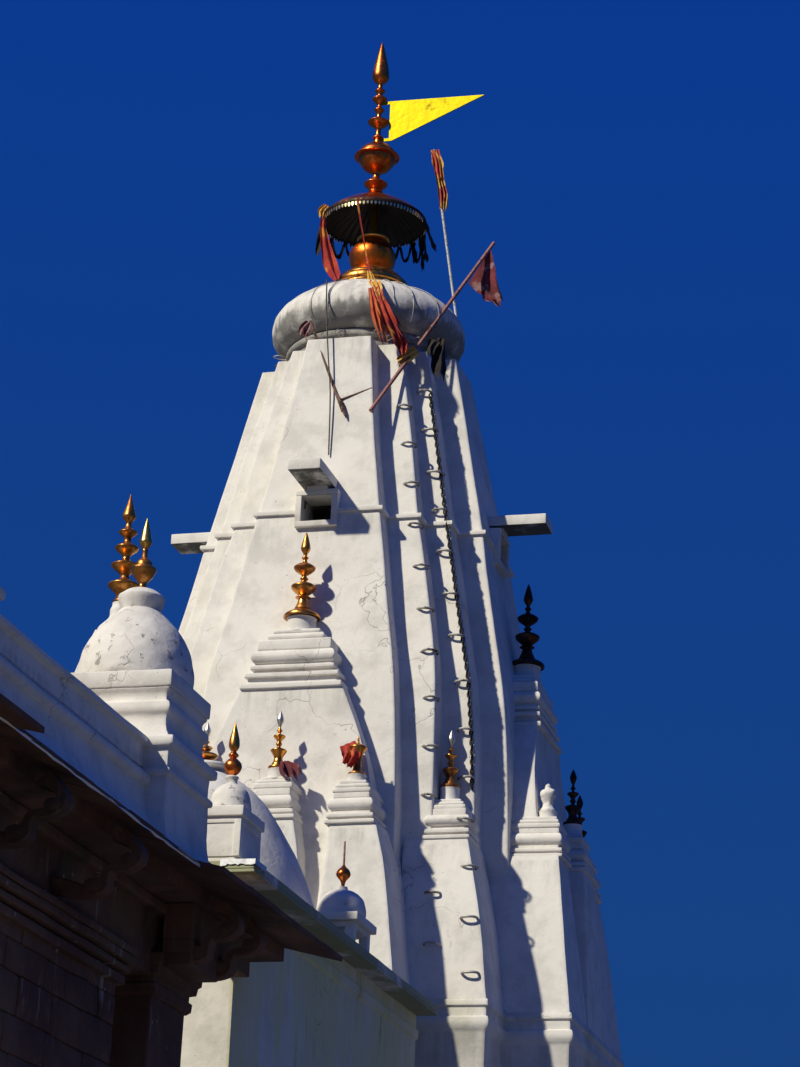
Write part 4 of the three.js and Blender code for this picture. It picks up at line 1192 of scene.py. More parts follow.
shrine = {
    "bay": 1.74,
    "bayOut": 3.53,
    "corner": 2.68,
    "rows": ((plinthTop, 0.1), (1.1, 0.1), (1.13, 0.13), (1.19, 0.14), (1.25, 0.12), (1.28, 0.06),
        (1.36, 0.035), (1.42, 0.06), (1.48, 0.05), (1.5, 0.0), (2.4, 0.0), (3.3, 0.0), (4.2, 0.0), (5.1, 0.0),
        (6.0, 0.0), (6.98, 0.0), (7.02, 0.02), (7.06, 0.045), (7.12, 0.055), (7.17, 0.045), (7.19, 0.012),
        (7.3, 0.01), (7.32, 0.035), (7.38, 0.035), (7.3996, 0.02)),
    "room": 1.7,
    "roomTop": 7.1,
    "doorHalf": 0.6,
    "doorTop": 3.2,
}


def crossCorners(grow):
    bay, far, corner = shrine["bay"] + grow, shrine["bayOut"] + grow, shrine["corner"] + grow
    return fourTimes([(bay, -far), (bay, -corner), (corner, -corner), (corner, -bay), (far, -bay)])


def buildShrine():
    bm = bmesh.new()
    cuts = cutsFor(crossCorners(0), 0.4)
    loft(bm, [lift(rounded(crossCorners(grow), 0.024, cuts, 2), level) for level, grow in shrine["rows"]])
    unevenness(bm, 0.008, 0.003)
    hold(bm, plinthTop)
    names = ["shrine_" + name for name in ("wall_right", "wall_left", "wall_back", "front_left", "front_right",
                                           "door_lintel", "ceiling")]
    piece = addPiece("shrine_plaster", bm, "hall", names, sharp=40)
    room, doorHalf = shrine["room"], shrine["doorHalf"]
    carve(piece, (boxBody(-room, room, -room, room, 0.5, shrine["roomTop"]),
                  boxBody(-doorHalf, doorHalf, -4.0, -1.6, 0.5, shrine["doorTop"])))


# The domed hall

hall = {
    "half": 2.04,
    "wall": 0.45,
    "front": -10.455,
    "back": -3.532,
    "wallTop": 7.0256,
    "doorHalf": 0.75,
    "doorTop": 3.6,
    "roofHalf": 2.295,
    "roofFront": -10.778,
    "roofBottom": 7.0264,
    "roofTop": 7.146,
    "domeCentre": -5.908,
    "domeHollow": 1.18,
    "spireCentre": -8.925,
    "baseCourses": ((plinthTop, 0.09), (1.1, 0.09), (1.14, 0.11), (1.2, 0.08), (1.24, 0.0)),
}


def buildHall():
    bm = bmesh.new()
    half, front, back = hall["half"], hall["front"], hall["back"]
    rows = list(hall["baseCourses"]) + [(1.24 + 0.58 * k, 0.0) for k in range(1, 10)]
    rows += [(6.72, 0.0), (6.75, 0.03), (6.84, 0.035), (6.87, 0.0), (6.95, 0.0), (hall["wallTop"], 0.0)]
    softStack(bm, [(level, -half - grow, half + grow, front - grow, back) for level, grow in rows], 0.022, 0.4)
    unevenness(bm, 0.007, 0.003)
    hold(bm, plinthTop, hall["wallTop"], back)
    names = ["hall_" + name for name in ("wall_right", "wall_left", "front_right", "front_left", "door_lintel")]
    piece = addPiece("hall_plaster", bm, "hallWalls", names, sharp=40)
    room = half - hall["wall"]
    carve(piece, (boxBody(-room, room, front + hall["wall"], back + 1, 0.5, 8.0),
                  boxBody(-hall["doorHalf"], hall["doorHalf"], front - 1, front + 1, 0.5, hall["doorTop"])))
    buildHallRoof()
    buildHallDome()
    buildSlimSpire()


def buildHallRoof():
    bm = bmesh.new()
    half, front, back = hall["roofHalf"], hall["roofFront"], hall["back"]
    rows = ((hall["roofBottom"], 0.0), (7.052, 0.004), (7.06, 0.016), (7.066, 0.008), (7.14, 0.016),
        (hall["roofTop"], 0.03))
    softStack(bm, [(level, -half + inset, half - inset, front + inset, back) for level, inset in rows],
              0.014, 0.3)
    unevenness(bm, 0.005, 0.004)
    hold(bm, hall["roofBottom"], hall["roofTop"], back)
    piece = addPiece("hall_roof_slab", bm, "roofEdge", ("hall_roof",), sharp=40)
    eye = bmesh.new()
    turned(eye, [(hall["domeHollow"], 6.9), (hall["domeHollow"], 7.3)], (0, hall["domeCentre"]), 48)
    carve(piece, (eye,))
    buildLeadCorner()
    for kind in roofPavilions:
        for side in (1, -1):
            buildRoofPavilion(kind, side)


# A torn strip of sheet lead still covers the right front corner of the slab's edge
def buildLeadCorner():
    rng = random.Random(11)
    bm = bmesh.new()
    cornerX, cornerY, top = hall["roofHalf"] + 0.006, hall["roofFront"] - 0.006, hall["roofTop"] + 0.006
    steps = 14
    for dx, dy in ((0, 1), (-1, 0)):        # back along the side, then left along the front
        rows = []
        for k in range(steps + 1):
            along = 0.36 * k / steps
            ragged = 0.045 + 0.035 * rng.random() * (0.3 + k / steps)
            x, y = cornerX + dx * along, cornerY + dy * along
            rows.append([Vector(place) for place in ((x, y, top - ragged), (x, y, top),
                                                     (x - dy * ragged * 0.8, y - dx * ragged * 0.8, top))])
        for low, high in zip(rows, rows[1:]):
            for i in (0, 1):
                bm.faces.new([bm.verts.new(p) for p in (low[i], low[i + 1], high[i + 1], high[i])])
    thicken(bm, 0.003)
    addPiece("roof_lead_corner", bm, "lead", ())


# Gives a thin open sheet two faces and closed edges
def thicken(bm, thickness):
    bmesh.ops.remove_doubles(bm, verts=bm.verts, dist=0.0002)
    bmesh.ops.recalc_face_normals(bm, faces=bm.faces)
    bmesh.ops.solidify(bm, geom=bm.faces[:] + bm.edges[:] + bm.verts[:], thickness=thickness)
    aslant = Vector((1, 0.7, 0.3))
    bm.verts.sort(key=lambda vert: vert.co.dot(aslant))         # it leaves them in another order each run
    bm.faces.sort(key=lambda face: face.calc_center_median().dot(aslant))


roofPavilions = {
    "box": {
        "place": (1.83, -10.25),
        "slab": (0.255, 0.36, 7.64, 7.745),
        "dome": ((0.203, 7.742), (0.211, 7.78), (0.208, 7.83), (0.19, 7.925), (0.158, 7.985), (0.11, 8.03),
            (0.062, 8.052, 1), (0.052, 8.085), (0.07, 8.12), (0.06, 8.134)),
        "pot": ((0.02, 8.13), (0.036, 8.15), (0.07, 8.18), (0.09, 8.225), (0.084, 8.27), (0.05, 8.31),
            (0.03, 8.325), (0.048, 8.345), (0.052, 8.36), (0.03, 8.385), (0.022, 8.4)),
        "tip": ((0.024, 8.396), (0.046, 8.425), (0.056, 8.465), (0.044, 8.55), (0.001, 8.705)),
        "metals": ("copper", "brass"),
    },
    "kiosk": {
        "place": (1.85, -6.25),
        "slab": (0.3, 0.41, 7.495, 7.585),
        "dome": ((0.263, 7.582), (0.277, 7.64), (0.272, 7.7), (0.245, 7.79), (0.195, 7.855), (0.12, 7.9),
            (0.07, 7.915, 1), (0.058, 7.935), (0.05, 7.958)),
        "pot": ((0.018, 7.955), (0.03, 8.02), (0.074, 8.075), (0.082, 8.11), (0.066, 8.15), (0.03, 8.185),
            (0.016, 8.205)),
        "tip": ((0.012, 8.2), (0.012, 8.33), (0.01, 8.484)),
        "metals": ("copper", "rustyPole"),
    },
}


def buildRoofPavilion(kind, side):
    facts = roofPavilions[kind]
    x, y = facts["place"][0] * side, facts["place"][1]
    base = hall["roofTop"] - 0.001
    bm = bmesh.new()

    def course(halfX, halfY, low, high, nose=0.01, cell=0.15, dx=0, dy=0):
        softBlock(bm, x + dx - halfX, x + dx + halfX, y + dy - halfY, y + dy + halfY, low, high, nose, cell)

    if kind == "box":
        course(0.205, 0.305, base, 7.242)
        course(0.218, 0.318, 7.24, 7.64, 0.005)
        for dx in (-0.195, 0, 0.195):
            for dy in (-0.295, 0, 0.295):
                if dx or dy:
                    wide = 0.035 if dx and dy else 0.012
                    course(wide, wide, 7.238, 7.641, 0.005, 0.3, dx, dy)
        course(0.23, 0.33, 7.575, 7.641, 0.006)
    else:
        course(0.245, 0.35, base, base + 0.06)
        course(0.245, 0.35, 7.43, 7.497)
        for dx in (-0.195, 0.195):
            for dy in (-0.29, 0.29):
                course(0.05, 0.06, base + 0.05, 7.44, 0.008, 0.2, dx, dy)
    halfX, halfY, low, high = facts["slab"]
    course(halfX, halfY, low, high)
    name = "roof_%s_%s" % (kind, "right" if side > 0 else "left")
    unevenness(bm, 0.005, 0.004, seed=x + y)
    addPiece(name + "_body", bm, "parapet")
    turnedPiece(name + "_dome", facts["dome"], "dome", 4, "whitewash", 34, (), (0.004, 0.005, 3, 14, x + y),
                centre=(x, y), segments=40)
    for part, metal in zip(("pot", "tip"), facts["metals"]):
        turnedPiece(name + "_" + part, facts[part], metal, centre=(x, y), segments=24)


def buildHallDome():
    centre, base = (0, hall["domeCentre"]), hall["roofTop"] + 0.0004
    outside = curved([(1.5, 0), (1.505, 0.06), (1.495, 0.115), (1.468, 0.128, 1),
                      (1.48, 0.339), (1.309, 0.891), (1.113, 1.334), (0.782, 1.86), (0.52, 2.12),
                      (0.314, 2.245), (0.225, 2.275, 1), (0.215, 2.3), (0.3, 2.325),
                      (0.318, 2.345), (0.29, 2.375), (0.18, 2.392), (0.12, 2.4)], 5)
    inside = [(1.18, 0.0), (1.165, 0.339), (1.02, 0.891), (0.81, 1.334), (0.46, 1.75), (0.012, 1.9)]
    skin = turnedRings([(r, z + base) for r, z in outside], centre, 96)
    lining = turnedRings([(r, z + base) for r, z in curved(inside, 3)], centre, 96)
    bm = bmesh.new()
    rows = joinRings(bm, lining[::-1] + skin)
    for row in (rows[0], rows[-1]):
        bm.faces.new(row)
    unevenness(bm, 0.01, 0.005)
    hold(bm, base)
    addPiece("hall_dome_plaster", bm, "smoothDome", ("hall_dome",), sharp=40)
    knots = [(0.1, 2.395), (0.115, 2.41), (0.07, 2.43), (0.06, 2.445), (0.125, 2.475), (0.15, 2.5),
        (0.12, 2.525), (0.05, 2.545), (0.04, 2.56), (0.062, 2.575), (0.045, 2.595), (0.001, 2.655)]
    turnedPiece("hall_dome_finial", shiftKnots(knots, base), "brass", centre=centre, segments=32)


slimSpire = {
    "body": ((7.5, 0.855), (7.9, 0.84), (8.7, 0.66), (9.4, 0.42), (9.9, 0.29), (10.15, 0.215)),
    "collar": [(0.2, 10.12), (0.24, 10.145), (0.25, 10.18), (0.242, 10.215), (0.19, 10.27), (0.15, 10.315),
        (0.132, 10.36), (0.132, 10.42), (0.112, 10.47), (0.11, 10.505)],
    "pots": [(0.1, 10.5), (0.11, 10.53), (0.075, 10.57), (0.1, 10.63), (0.165, 10.69), (0.178, 10.715),
        (0.165, 10.73, 1), (0.09, 10.76), (0.05, 10.8), (0.055, 10.84), (0.12, 10.9), (0.16, 10.94),
        (0.15, 10.955, 1), (0.07, 10.99), (0.042, 11.03), (0.055, 11.07), (0.115, 11.12), (0.132, 11.15),
        (0.12, 11.165, 1), (0.055, 11.2), (0.036, 11.24), (0.052, 11.28), (0.098, 11.32), (0.1, 11.34),
        (0.045, 11.38), (0.03, 11.43), (0.04, 11.46), (0.074, 11.51), (0.066, 11.56), (0.035, 11.66),
        (0.001, 11.785)],
}


def buildSlimSpire():
    x, y, base = 0, hall["spireCentre"], hall["roofTop"] + 0.0004
    bm = bmesh.new()
    body = ((base, 0.86), *slimSpire["body"])
    rows = [(level, -half, half, y - half, y + half) for level, half in smoothRows(body, 0.18)]
    softStack(bm, rows, 0.02, 0.25)
    for sign in (1, -1):
        for along in (0, 1):
            strip = []
            for level, half in smoothRows(body, 0.18)[:-2]:
                wide, out = half * 0.42, half + 0.045
                if along:
                    strip.append((level, -wide, wide, *sorted((y + sign * out, y))))
                else:
                    strip.append((level, *sorted((sign * out, 0)), y - wide, y + wide))
            softStack(bm, strip, 0.016, 0.3)
    unevenness(bm, 0.006, 0.003)
    hold(bm, base)
    addPiece("slim_spire_plaster", bm, "smoothDome", ("hall_slim_spire",), sharp=40)
    turnedPiece("slim_spire_collar", slimSpire["collar"], "smoothDome", 5, "whitewash", 34, (), (0.005, 0.004),
                centre=(x, y), segments=64)
    turnedPiece("slim_spire_finial", slimSpire["pots"], "brass", centre=(x, y), segments=36)


# The stone porch hall

porch = {
    "front": -22.1,
    "back": -11.8,
    "half": 2.04,
    "beam": 0.43,
    "beamBottom": 5.6,
    "beamTop": 6.2436,
    "pillar": 0.92,
    "wallBack": -13.6,
    "eaveHalf": 3.06,
    "eaveBack": -10.158,
    "eaveFront": -23.12,
    "eaveLow": 6.244,
    "roofTop": 6.68,
    "roofHalf": 2.5,
    "courtHalf": 1.85,
    "courtFront": -12.26,
    "narrowHalf": 2.83,
    "narrowFront": -18.06,
    "narrowBack": -13.88,
    "outer": 2.445,
    "inner": 2.105,
    "parapetBack": -13.24,
    "parapetFront": -22.505,
    "hallClear": 2.06,
    "pavilionX": 2.085,
    "pavilionY": (-18.79, -13.8),
}

# How far the parapet's outer face stands out at each level, from its lip down to the eave's edge
parapetFace = ((7.32, -0.02), (7.316, 0.008), (7.306, 0.026), (7.262, 0.03), (7.25, 0.016), (7.246, -0.008),
    (7.236, -0.022), (7.06, -0.02), (7.05, -0.05), (7.03, -0.066), (7.01, -0.05), (7.004, 0.01), (6.994, 0.04),
    (6.965, 0.06), (6.93, 0.06), (6.905, 0.04), (6.895, 0.01), (6.885, 0.004), (6.78, 0.016), (6.68, 0.036),
    (6.6, 0.068), (6.52, 0.116), (6.45, 0.174), (6.39, 0.242), (6.345, 0.306), (6.318, 0.362), (6.305, 0.381),
    (6.299, 0.384), (6.288, 0.38))


# Outlines of a U that runs along both sides and across the front
def porchLine(out, back):
    half, front = porch["outer"] + out, porch["parapetFront"] - out
    return [(half, back), (half, front), (-half, front), (-half, back)]


# Sweeps a section along the U; its points are (level, how far out of the parapet's outer face)
def sweepPorch(bm, section, backs, cell=0.35):
    along = round((porch["parapetBack"] - porch["parapetFront"]) / cell)
    across = round(2 * porch["outer"] / cell)
    rows = []
    for (level, out), back in zip(section, backs):
        line = [Vector((x, y, level)) for x, y in porchLine(out, back)]
        row = []
        for a, b, count in zip(line, line[1:], (along, across, along)):
            row += [a.lerp(b, k / count) for k in range(count)]
        rows.append(row + line[-1:])
    verts = [[bm.verts.new(point) for point in row] for row in rows]
    for low, high in zip(verts, verts[1:] + verts[:1]):
        for i in range(len(low) - 1):
            bm.faces.new((low[i], low[i + 1], high[i + 1], high[i]))
    for end in (0, -1):
        bm.faces.new([row[end] for row in verts])


def buildParapet():
    thick = porch["inner"] - porch["outer"]
    section = [(level, out) for level, out in parapetFace if level > 6.69]
    section += [(6.681, 0.034), (6.681, thick), (7.29, thick), (7.31, thick + 0.012), (7.32, thick + 0.03)]
    bm = bmesh.new()
    sweepPorch(bm, section, [porch["parapetBack"]] * len(section), 0.25)
    unevenness(bm, 0.008, 0.004, fineScale=3)
    hold(bm, porch["roofTop"] + 0.0006)
    addPiece("porch_parapet_plaster", bm, "parapet", ("porch_parapet_right", "porch_parapet_left",
                                                      "porch_parapet_front"), sharp=40)


# The plastered cove between parapet and eave edge; its thin edge is chipped, and it ends before the parapet
def buildCove():
    rng = random.Random(5)
    bm = bmesh.new()
    section = [(level, out) for level, out in parapetFace if level < 6.6805]
    section[0:0] = [(6.68, -0.3), (6.68, 0.034)]
    section += [(6.345, 0.3), (6.4, 0.2), (6.47, 0.08), (6.56, -0.06), (6.62, -0.3)]
    short = porch["parapetBack"] - porch["narrowBack"]
    backs = [porch["parapetBack"] - short * min(1, max(0, (6.68 - level) / 0.38)) for level, out in section]
    sweepPorch(bm, section, backs, 0.16)
    half = porch["narrowHalf"]
    for vert in bm.verts:
        if abs(vert.co.x) > half - 0.04 or vert.co.y < porch["parapetFront"] - 0.34:
            vert.co.z += 0.008 * (rng.random() - 0.5)
            vert.co.x -= math.copysign(0.02 * rng.random() ** 3, vert.co.x)
    unevenness(bm, 0.007, 0.004)
    for vert in bm.verts:
        if vert.co.y > porch["narrowBack"]:
            vert.co.z = max(vert.co.z, eaveUnderside(vert.co.x) + 0.03)
    addPiece("porch_cove_plaster", bm, "parapet", sharp=40)


# Underside of the sloping eave slabs at a distance from the middle
def eaveUnderside(x):
    outer, inner = porch["eaveHalf"] - 0.047, porch["roofHalf"] - 0.1
    return porch["eaveLow"] + 0.004 + 0.156 * min(1, max(0, (outer - abs(x)) / (outer - inner)))


# The stone slabs of the roof and its sloping eave, seen from below; over a stretch on either side
# the slabs are cut back to the cove's edge, and behind them a court is open to the sky
def buildPorchRoof():
    bm = bmesh.new()
    half, front, back = porch["eaveHalf"], porch["eaveFront"], porch["eaveBack"]
    low, inner = porch["eaveLow"], porch["roofHalf"] - 0.1
    for start, end, count, outer in ((front + 0.04, porch["narrowFront"], 6, half - 0.012),
                                     (porch["narrowFront"], porch["narrowBack"], 5, porch["narrowHalf"] - 0.03),
                                     (porch["narrowBack"], back - 0.02, 5, half - 0.012)):
        under = eaveUnderside(outer)
        for k in range(count):
            y0 = start + (end - start) * k / count
            y1 = start + (end - start) * (k + 1) / count - 0.008
            rise = 0.01 * math.sin(k * 2.3 + start)
            corners = ((inner, low + 0.16), (outer, under), (outer, under + 0.048), (inner, low + 0.215))
            for sign in (1, -1):
                ends = [[bm.verts.new((sign * x, y, z + rise * 0.5)) for x, z in corners] for y in (y0, y1)]
                for i in range(4):
                    j = (i + 1) % 4
                    bm.faces.new((ends[0][i], ends[0][j], ends[1][j], ends[1][i]))
                bm.faces.new(ends[0])
                bm.faces.new(ends[1][::-1])
    softBlock(bm, -inner - 0.05, inner + 0.05, front + 0.5, porch["courtFront"] - 0.002, low + 0.02,
              porch["roofTop"] - 0.003, 0.006, 1.2)
    softBlock(bm, -half + 0.3, half - 0.3, front + 0.03, front + 0.6, low + 0.001, low + 0.05, 0.006, 0.8)
    for sign in (1, -1):
        x0, x1 = span(sign, porch["courtHalf"], inner + 0.05)
        softBlock(bm, x0, x1, porch["courtFront"] - 0.01, hall["front"] - 0.04, low + 0.02, 6.6, 0.006, 0.5)
        x0, x1 = span(sign, porch["hallClear"], inner + 0.05)
        softBlock(bm, x0, x1, hall["front"] - 0.05, back - 0.02, low + 0.02, 6.5, 0.006, 0.5)
    addPiece("porch_roof_slabs", bm, "carved", ("porch_roof",), 30)


# Stepped courses of the cornice along the outer face of the walls, and a fillet under the eave
def buildCornice():
    bm = bmesh.new()
    half, front, back = porch["half"], porch["front"], porch["back"]
    wallEnd = porch["wallBack"]
    wallStart = front + back - wallEnd
    for low, high, out in ((5.35, 5.43, 0.06), (5.43, 5.455, 0.02), (5.455, 5.515, 0.095),
                           (5.515, 5.54, 0.05), (5.54, 5.61, 0.125), (5.61, 5.672, 0.15)):
        for sign in (1, -1):
            x0, x1 = span(sign, half - 0.06, half + out)
            softBlock(bm, x0, x1, wallStart - out, wallEnd + out, low, high - 0.001, 0.014, 0.3)
    for sign in (1, -1):
        x0, x1 = span(sign, half - 0.06, half + 0.1)
        softBlock(bm, x0, x1, front - 0.1, back + 0.1, 6.15, porch["beamTop"], 0.014, 0.3)
    for y0, y1 in ((front - 0.1, front + 0.06), (back - 0.06, back + 0.1)):
        softBlock(bm, -half + 0.06, half - 0.06, y0, y1, 6.15, porch["beamTop"], 0.014, 0.3)
    unevenness(bm, 0.012, 0.01, fineScale=6)
    hold(bm, high=porch["beamTop"])
    addPiece("porch_cornice", bm, "stone", ())


# Carved serpentine brackets: each rises in two curls from the wall to the eave
def bracketShape():
    bm = bmesh.new()
    knots = ((-0.16, 0, -0.56), (0.02, 0, -0.62), (0.16, 0, -0.665), (0.28, 0, -0.62), (0.31, 0, -0.5),
        (0.35, 0, -0.39), (0.47, 0, -0.37), (0.565, 0, -0.29), (0.575, 0, -0.17), (0.5, 0, -0.06),
        (0.42, 0, 0.02))
    thick = (0.2, 0.17, 0.13, 0.125, 0.085, 0.085, 0.12, 0.115, 0.085, 0.13, 0.2)
    section = ((1, 0.75), (1, -0.75), (0.8, -1), (-0.8, -1), (-1, -0.75), (-1, 0.75), (-0.8, 1), (0.8, 1))
    path = spline(knots, 4)
    rings = []
    for i, point in enumerate(path):
        ahead = (path[min(i + 1, len(path) - 1)] - path[max(i - 1, 0)]).normalized()
        side = Vector((ahead.z, 0, -ahead.x))
        half = valueAt(thick, i / 4) / 2
        rings.append([point + side * half * across + Vector((0, 0.085 * out, 0)) for across, out in section])
    loft(bm, rings)
    for x, z, radius in ((0.225, -0.585, 0.085), (0.515, -0.285, 0.075)):
        knob = bmesh.new()
        turned(knob, curved([(0.001, -0.105), (radius * 0.7, -0.1), (radius, -0.075), (radius, 0.075),
                             (radius * 0.7, 0.1), (0.001, 0.105)], 2), segments=16)
        bmesh.ops.rotate(knob, verts=knob.verts, matrix=Matrix.Rotation(math.pi / 2, 3, "X"))
        bmesh.ops.translate(knob, verts=knob.verts, vec=(x, 0, z))
        spare = bpy.data.meshes.new("knob")
        knob.to_mesh(spare)
        knob.free()
        bm.from_mesh(spare)
        bpy.data.meshes.remove(spare)
    return bm


brackets = {
    "alongSides": (-22.0, -20.3, -18.6, -16.9, -15.2, -12.6, -11.95),
    "alongFront": (-1.5, -0.5, 0.5, 1.5),
    "out": 0.15,              # from the walls' outer faces
    "level": 6.232,
    "size": (1, 1, 0.7),
}


def buildBrackets():
    spots = []
    level, size = brackets["level"], brackets["size"]
    for y in brackets["alongSides"]:
        for sign in (1, -1):
            place = (sign * (porch["half"] + brackets["out"]), y, level)
            spots.append((place, (0, 0, 0 if sign > 0 else math.pi), size))
    for x in brackets["alongFront"]:
        spots.append(((x, porch["front"] - brackets["out"], level), (0, 0, -math.pi / 2), size))
    repeatShape("porch_brackets", spots, bracketShape(), "carved", (), 0.0, 0.02, 4, 30)


# Stepped stone arms under the eave, from the back pillars towards the hall
def buildEaveArms():
    bm = bmesh.new()
    for sign in (1, -1):
        x0, x1 = span(sign, 2.115, 2.4)
        for end, low, high in ((-11.06, 5.93, 6.256), (-11.62, 5.8, 5.932), (-11.98, 5.69, 5.802)):
            softBlock(bm, x0, x1, -12.75, end, low, high, 0.014)
    unevenness(bm, 0.006, 0.004)
    addPiece("eave_arms", bm, "carved", ())


def stoneShape():
    bm = bmesh.new()
    softBlock(bm, -0.5, 0.5, -0.5, 0.5, -0.5, 0.5, 0.05, 0.6)
    return bm


# Dressed stones in courses; every wall face gets its stones from one run
def buildMasonry():
    rng = random.Random(21)
    spots = []
    half, beam = porch["half"], porch["beam"]
    front, back, wallBack = porch["front"], porch["back"], porch["wallBack"]
    wallFront = front + back - wallBack
    low, top = plinthTop, porch["beamBottom"]
    heights = [rng.uniform(0.24, 0.4) for _ in range(15)]
    scale = (top - low) / sum(heights)
    for height in heights:
        level = low + height * scale / 2
        tall = height * scale - 0.005
        low += height * scale
        for sign in (1, -1):
            x = sign * (half - beam / 2)
            y = wallFront
            while y < wallBack - 0.01:
                long = min(rng.uniform(0.38, 1.05), wallBack - y)
                if wallBack - (y + long) < 0.2:
                    long = wallBack - y
                wide = beam + 0.034 * (rng.random() - 0.4)
                spots.append(((x, y + long / 2, level), (0, 0, 0), (wide, long - 0.005, tall)))
                y += long
    pillar, drum = porch["pillar"], (top - plinthTop) / 4
    for sign in (1, -1):
        for y0 in (front, back - pillar):
            for k in range(4):
                place = (sign * (half - beam / 2), y0 + pillar / 2, plinthTop + (k + 0.5) * drum)
                spots.append((place, (0, 0, 0), (beam, pillar, drum - 0.003)))
    piece = repeatShape("porch_masonry", spots, stoneShape(), "stone", ("porch_side_right", "porch_side_left"),
                        0.0, 0.004, 9, 30)
    bm = bmesh.new()
    bm.from_mesh(piece.data)
    unevenness(bm, 0.014, 0.01, 1.3, 5.5, 2)
    hold(bm, plinthTop)
    bm.to_mesh(piece.data)
    bm.free()


def buildBeams():
    bm = bmesh.new()
    half, beam = porch["half"], porch["beam"]
    low, high = porch["beamBottom"] + 0.001, porch["beamTop"]
    for x0, x1, y0, y1 in ((half - beam, half, porch["front"], porch["back"]),
                           (-half, -half + beam, porch["front"], porch["back"]),
                           (-half + beam, half - beam, porch["front"], porch["front"] + beam),
                           (-half + beam, half - beam, porch["back"] - beam, porch["back"])):
        softBlock(bm, x0, x1, y0, y1, low, high, 0.012, 0.5)
    head = ((5.43, 0.012), (5.46, 0.045), (5.53, 0.05), (5.55, 0.024), (5.6, 0.024), (5.62, 0.075),
        (5.69, 0.085), (5.71, 0.11), (5.79, 0.115), (5.81, 0.09))
    foot = ((plinthTop, 0.085), (1.06, 0.085), (1.09, 0.06), (1.13, 0.055), (1.16, 0.03), (1.2, 0.012))
    for sign in (1, -1):
        for y0 in (porch["front"], porch["back"] - porch["pillar"]):
            x0, x1 = span(sign, half, half - beam)
            for rows in (head, foot):
                softStack(bm, [(level, x0 - grow, x1 + grow, y0 - grow, y0 + porch["pillar"] + grow)
                               for level, grow in rows], 0.01, 0.5)
    unevenness(bm, 0.006, 0.004, fineScale=6)
    hold(bm, plinthTop, high)
    addPiece("porch_beams", bm, "stone", ("porch_beam_front", "porch_beam_back"))


# The domed pavilions that stand astride the parapet

pavilion = {
    "pedestal": ((0.0, 0.564), (0.1, 0.564), (0.2, 0.562), (0.306, 0.562), (0.314, 0.584), (0.328, 0.592),
        (0.352, 0.594), (0.37, 0.586), (0.38, 0.562), (0.392, 0.556), (0.47, 0.556), (0.558, 0.56),
        (0.568, 0.6), (0.584, 0.61), (0.64, 0.612), (0.652, 0.604), (0.656, 0.56), (0.68, 0.538), (0.72, 0.516),
        (0.77, 0.5), (0.83, 0.494), (0.872, 0.5), (0.888, 0.516), (0.905, 0.53), (0.945, 0.534), (0.98, 0.524),
        (0.992, 0.498), (1.01, 0.484), (1.05, 0.484), (1.08, 0.498), (1.096, 0.512), (1.108, 0.516),
        (1.118, 0.508), (1.124, 0.526), (1.136, 0.532), (1.248, 0.534), (1.262, 0.53), (1.27, 0.516)),
    "dome": ((0.5, 1.266), (0.52, 1.3), (0.524, 1.37), (0.512, 1.47), (0.482, 1.58), (0.432, 1.69),
        (0.366, 1.79), (0.29, 1.875), (0.215, 1.95), (0.19, 1.975)),
    "collar": ((0.17, 1.965), (0.18, 2.0), (0.2, 2.055), (0.21, 2.09), (0.21, 2.118), (0.196, 2.13),
        (0.188, 2.132, 1), (0.16, 2.158), (0.12, 2.182), (0.08, 2.196)),
    "pots": ((0.06, 2.186), (0.064, 2.205), (0.042, 2.222), (0.036, 2.25), (0.05, 2.275), (0.086, 2.318),
        (0.112, 2.372), (0.116, 2.396), (0.104, 2.408, 1), (0.078, 2.42), (0.072, 2.45), (0.052, 2.48),
        (0.028, 2.5), (0.022, 2.54), (0.026, 2.572), (0.018, 2.59)),
    "spear": ((0.017, 2.586), (0.036, 2.606), (0.056, 2.645), (0.052, 2.68), (0.03, 2.79), (0.001, 2.884)),
}
# The parapet's lower moulding and cove step out round each pavilion's foot
bayRows = ((6.3, 0.744), (6.318, 0.735), (6.345, 0.695), (6.39, 0.65), (6.45, 0.612), (6.52, 0.588),
    (6.6, 0.574), (6.68, 0.566), (6.72, 0.562))


def buildPavilions():
    base = porch["roofTop"] + 0.0008
    spots = [(place, y, side, sign) for place, y in zip(("front", "back"), porch["pavilionY"])
             for side, sign in (("right", 1), ("left", -1))]
    for index, (place, y, side, sign) in enumerate(spots):
        name = "porch_pavilion_%s_%s" % (place, side)
        x = sign * porch["pavilionX"]
        bm = bmesh.new()
        softStack(bm, [(level + base, x - half, x + half, y - half, y + half)
                       for level, half in pavilion["pedestal"]], 0.012, 0.2)
        unevenness(bm, 0.006, 0.004, seed=index)
        hold(bm, base)
        addPiece(name + "_pedestal", bm, "parapet", (name,), sharp=40)
        for part, steps, segments, rough in (("dome", 5, 72, (0.008, 0.006, 2.4, 11, index)),
                                             ("collar", 4, 48, (0.004, 0.004, 0.9, 4.5, index))):
            turnedPiece(name + "_" + part, shiftKnots(pavilion[part], base), part, steps, "whitewash", 34, (),
                        rough, centre=(x, y), segments=segments)
        for part, metal in (("pots", "brass"), ("spear", "gold")):
            turnedPiece(name + "_" + part, shiftKnots(pavilion[part], base), metal, centre=(x, y), segments=28)
        bm = bmesh.new()
        softStack(bm, [(level, *span(sign, porch["outer"] - 0.2, porch["pavilionX"] + out),
                        y - min(out, 0.6), y + min(out, 0.6)) for level, out in bayRows], 0.014, 0.2)
        unevenness(bm, 0.006, 0.004, seed=index)
        for vert in bm.verts:
            vert.co.z = max(vert.co.z, eaveUnderside(vert.co.x) + 0.03)
        addPiece(name + "_bay", bm, "parapet", sharp=40)


# The plinth: two courses of long dressed stones over the fill

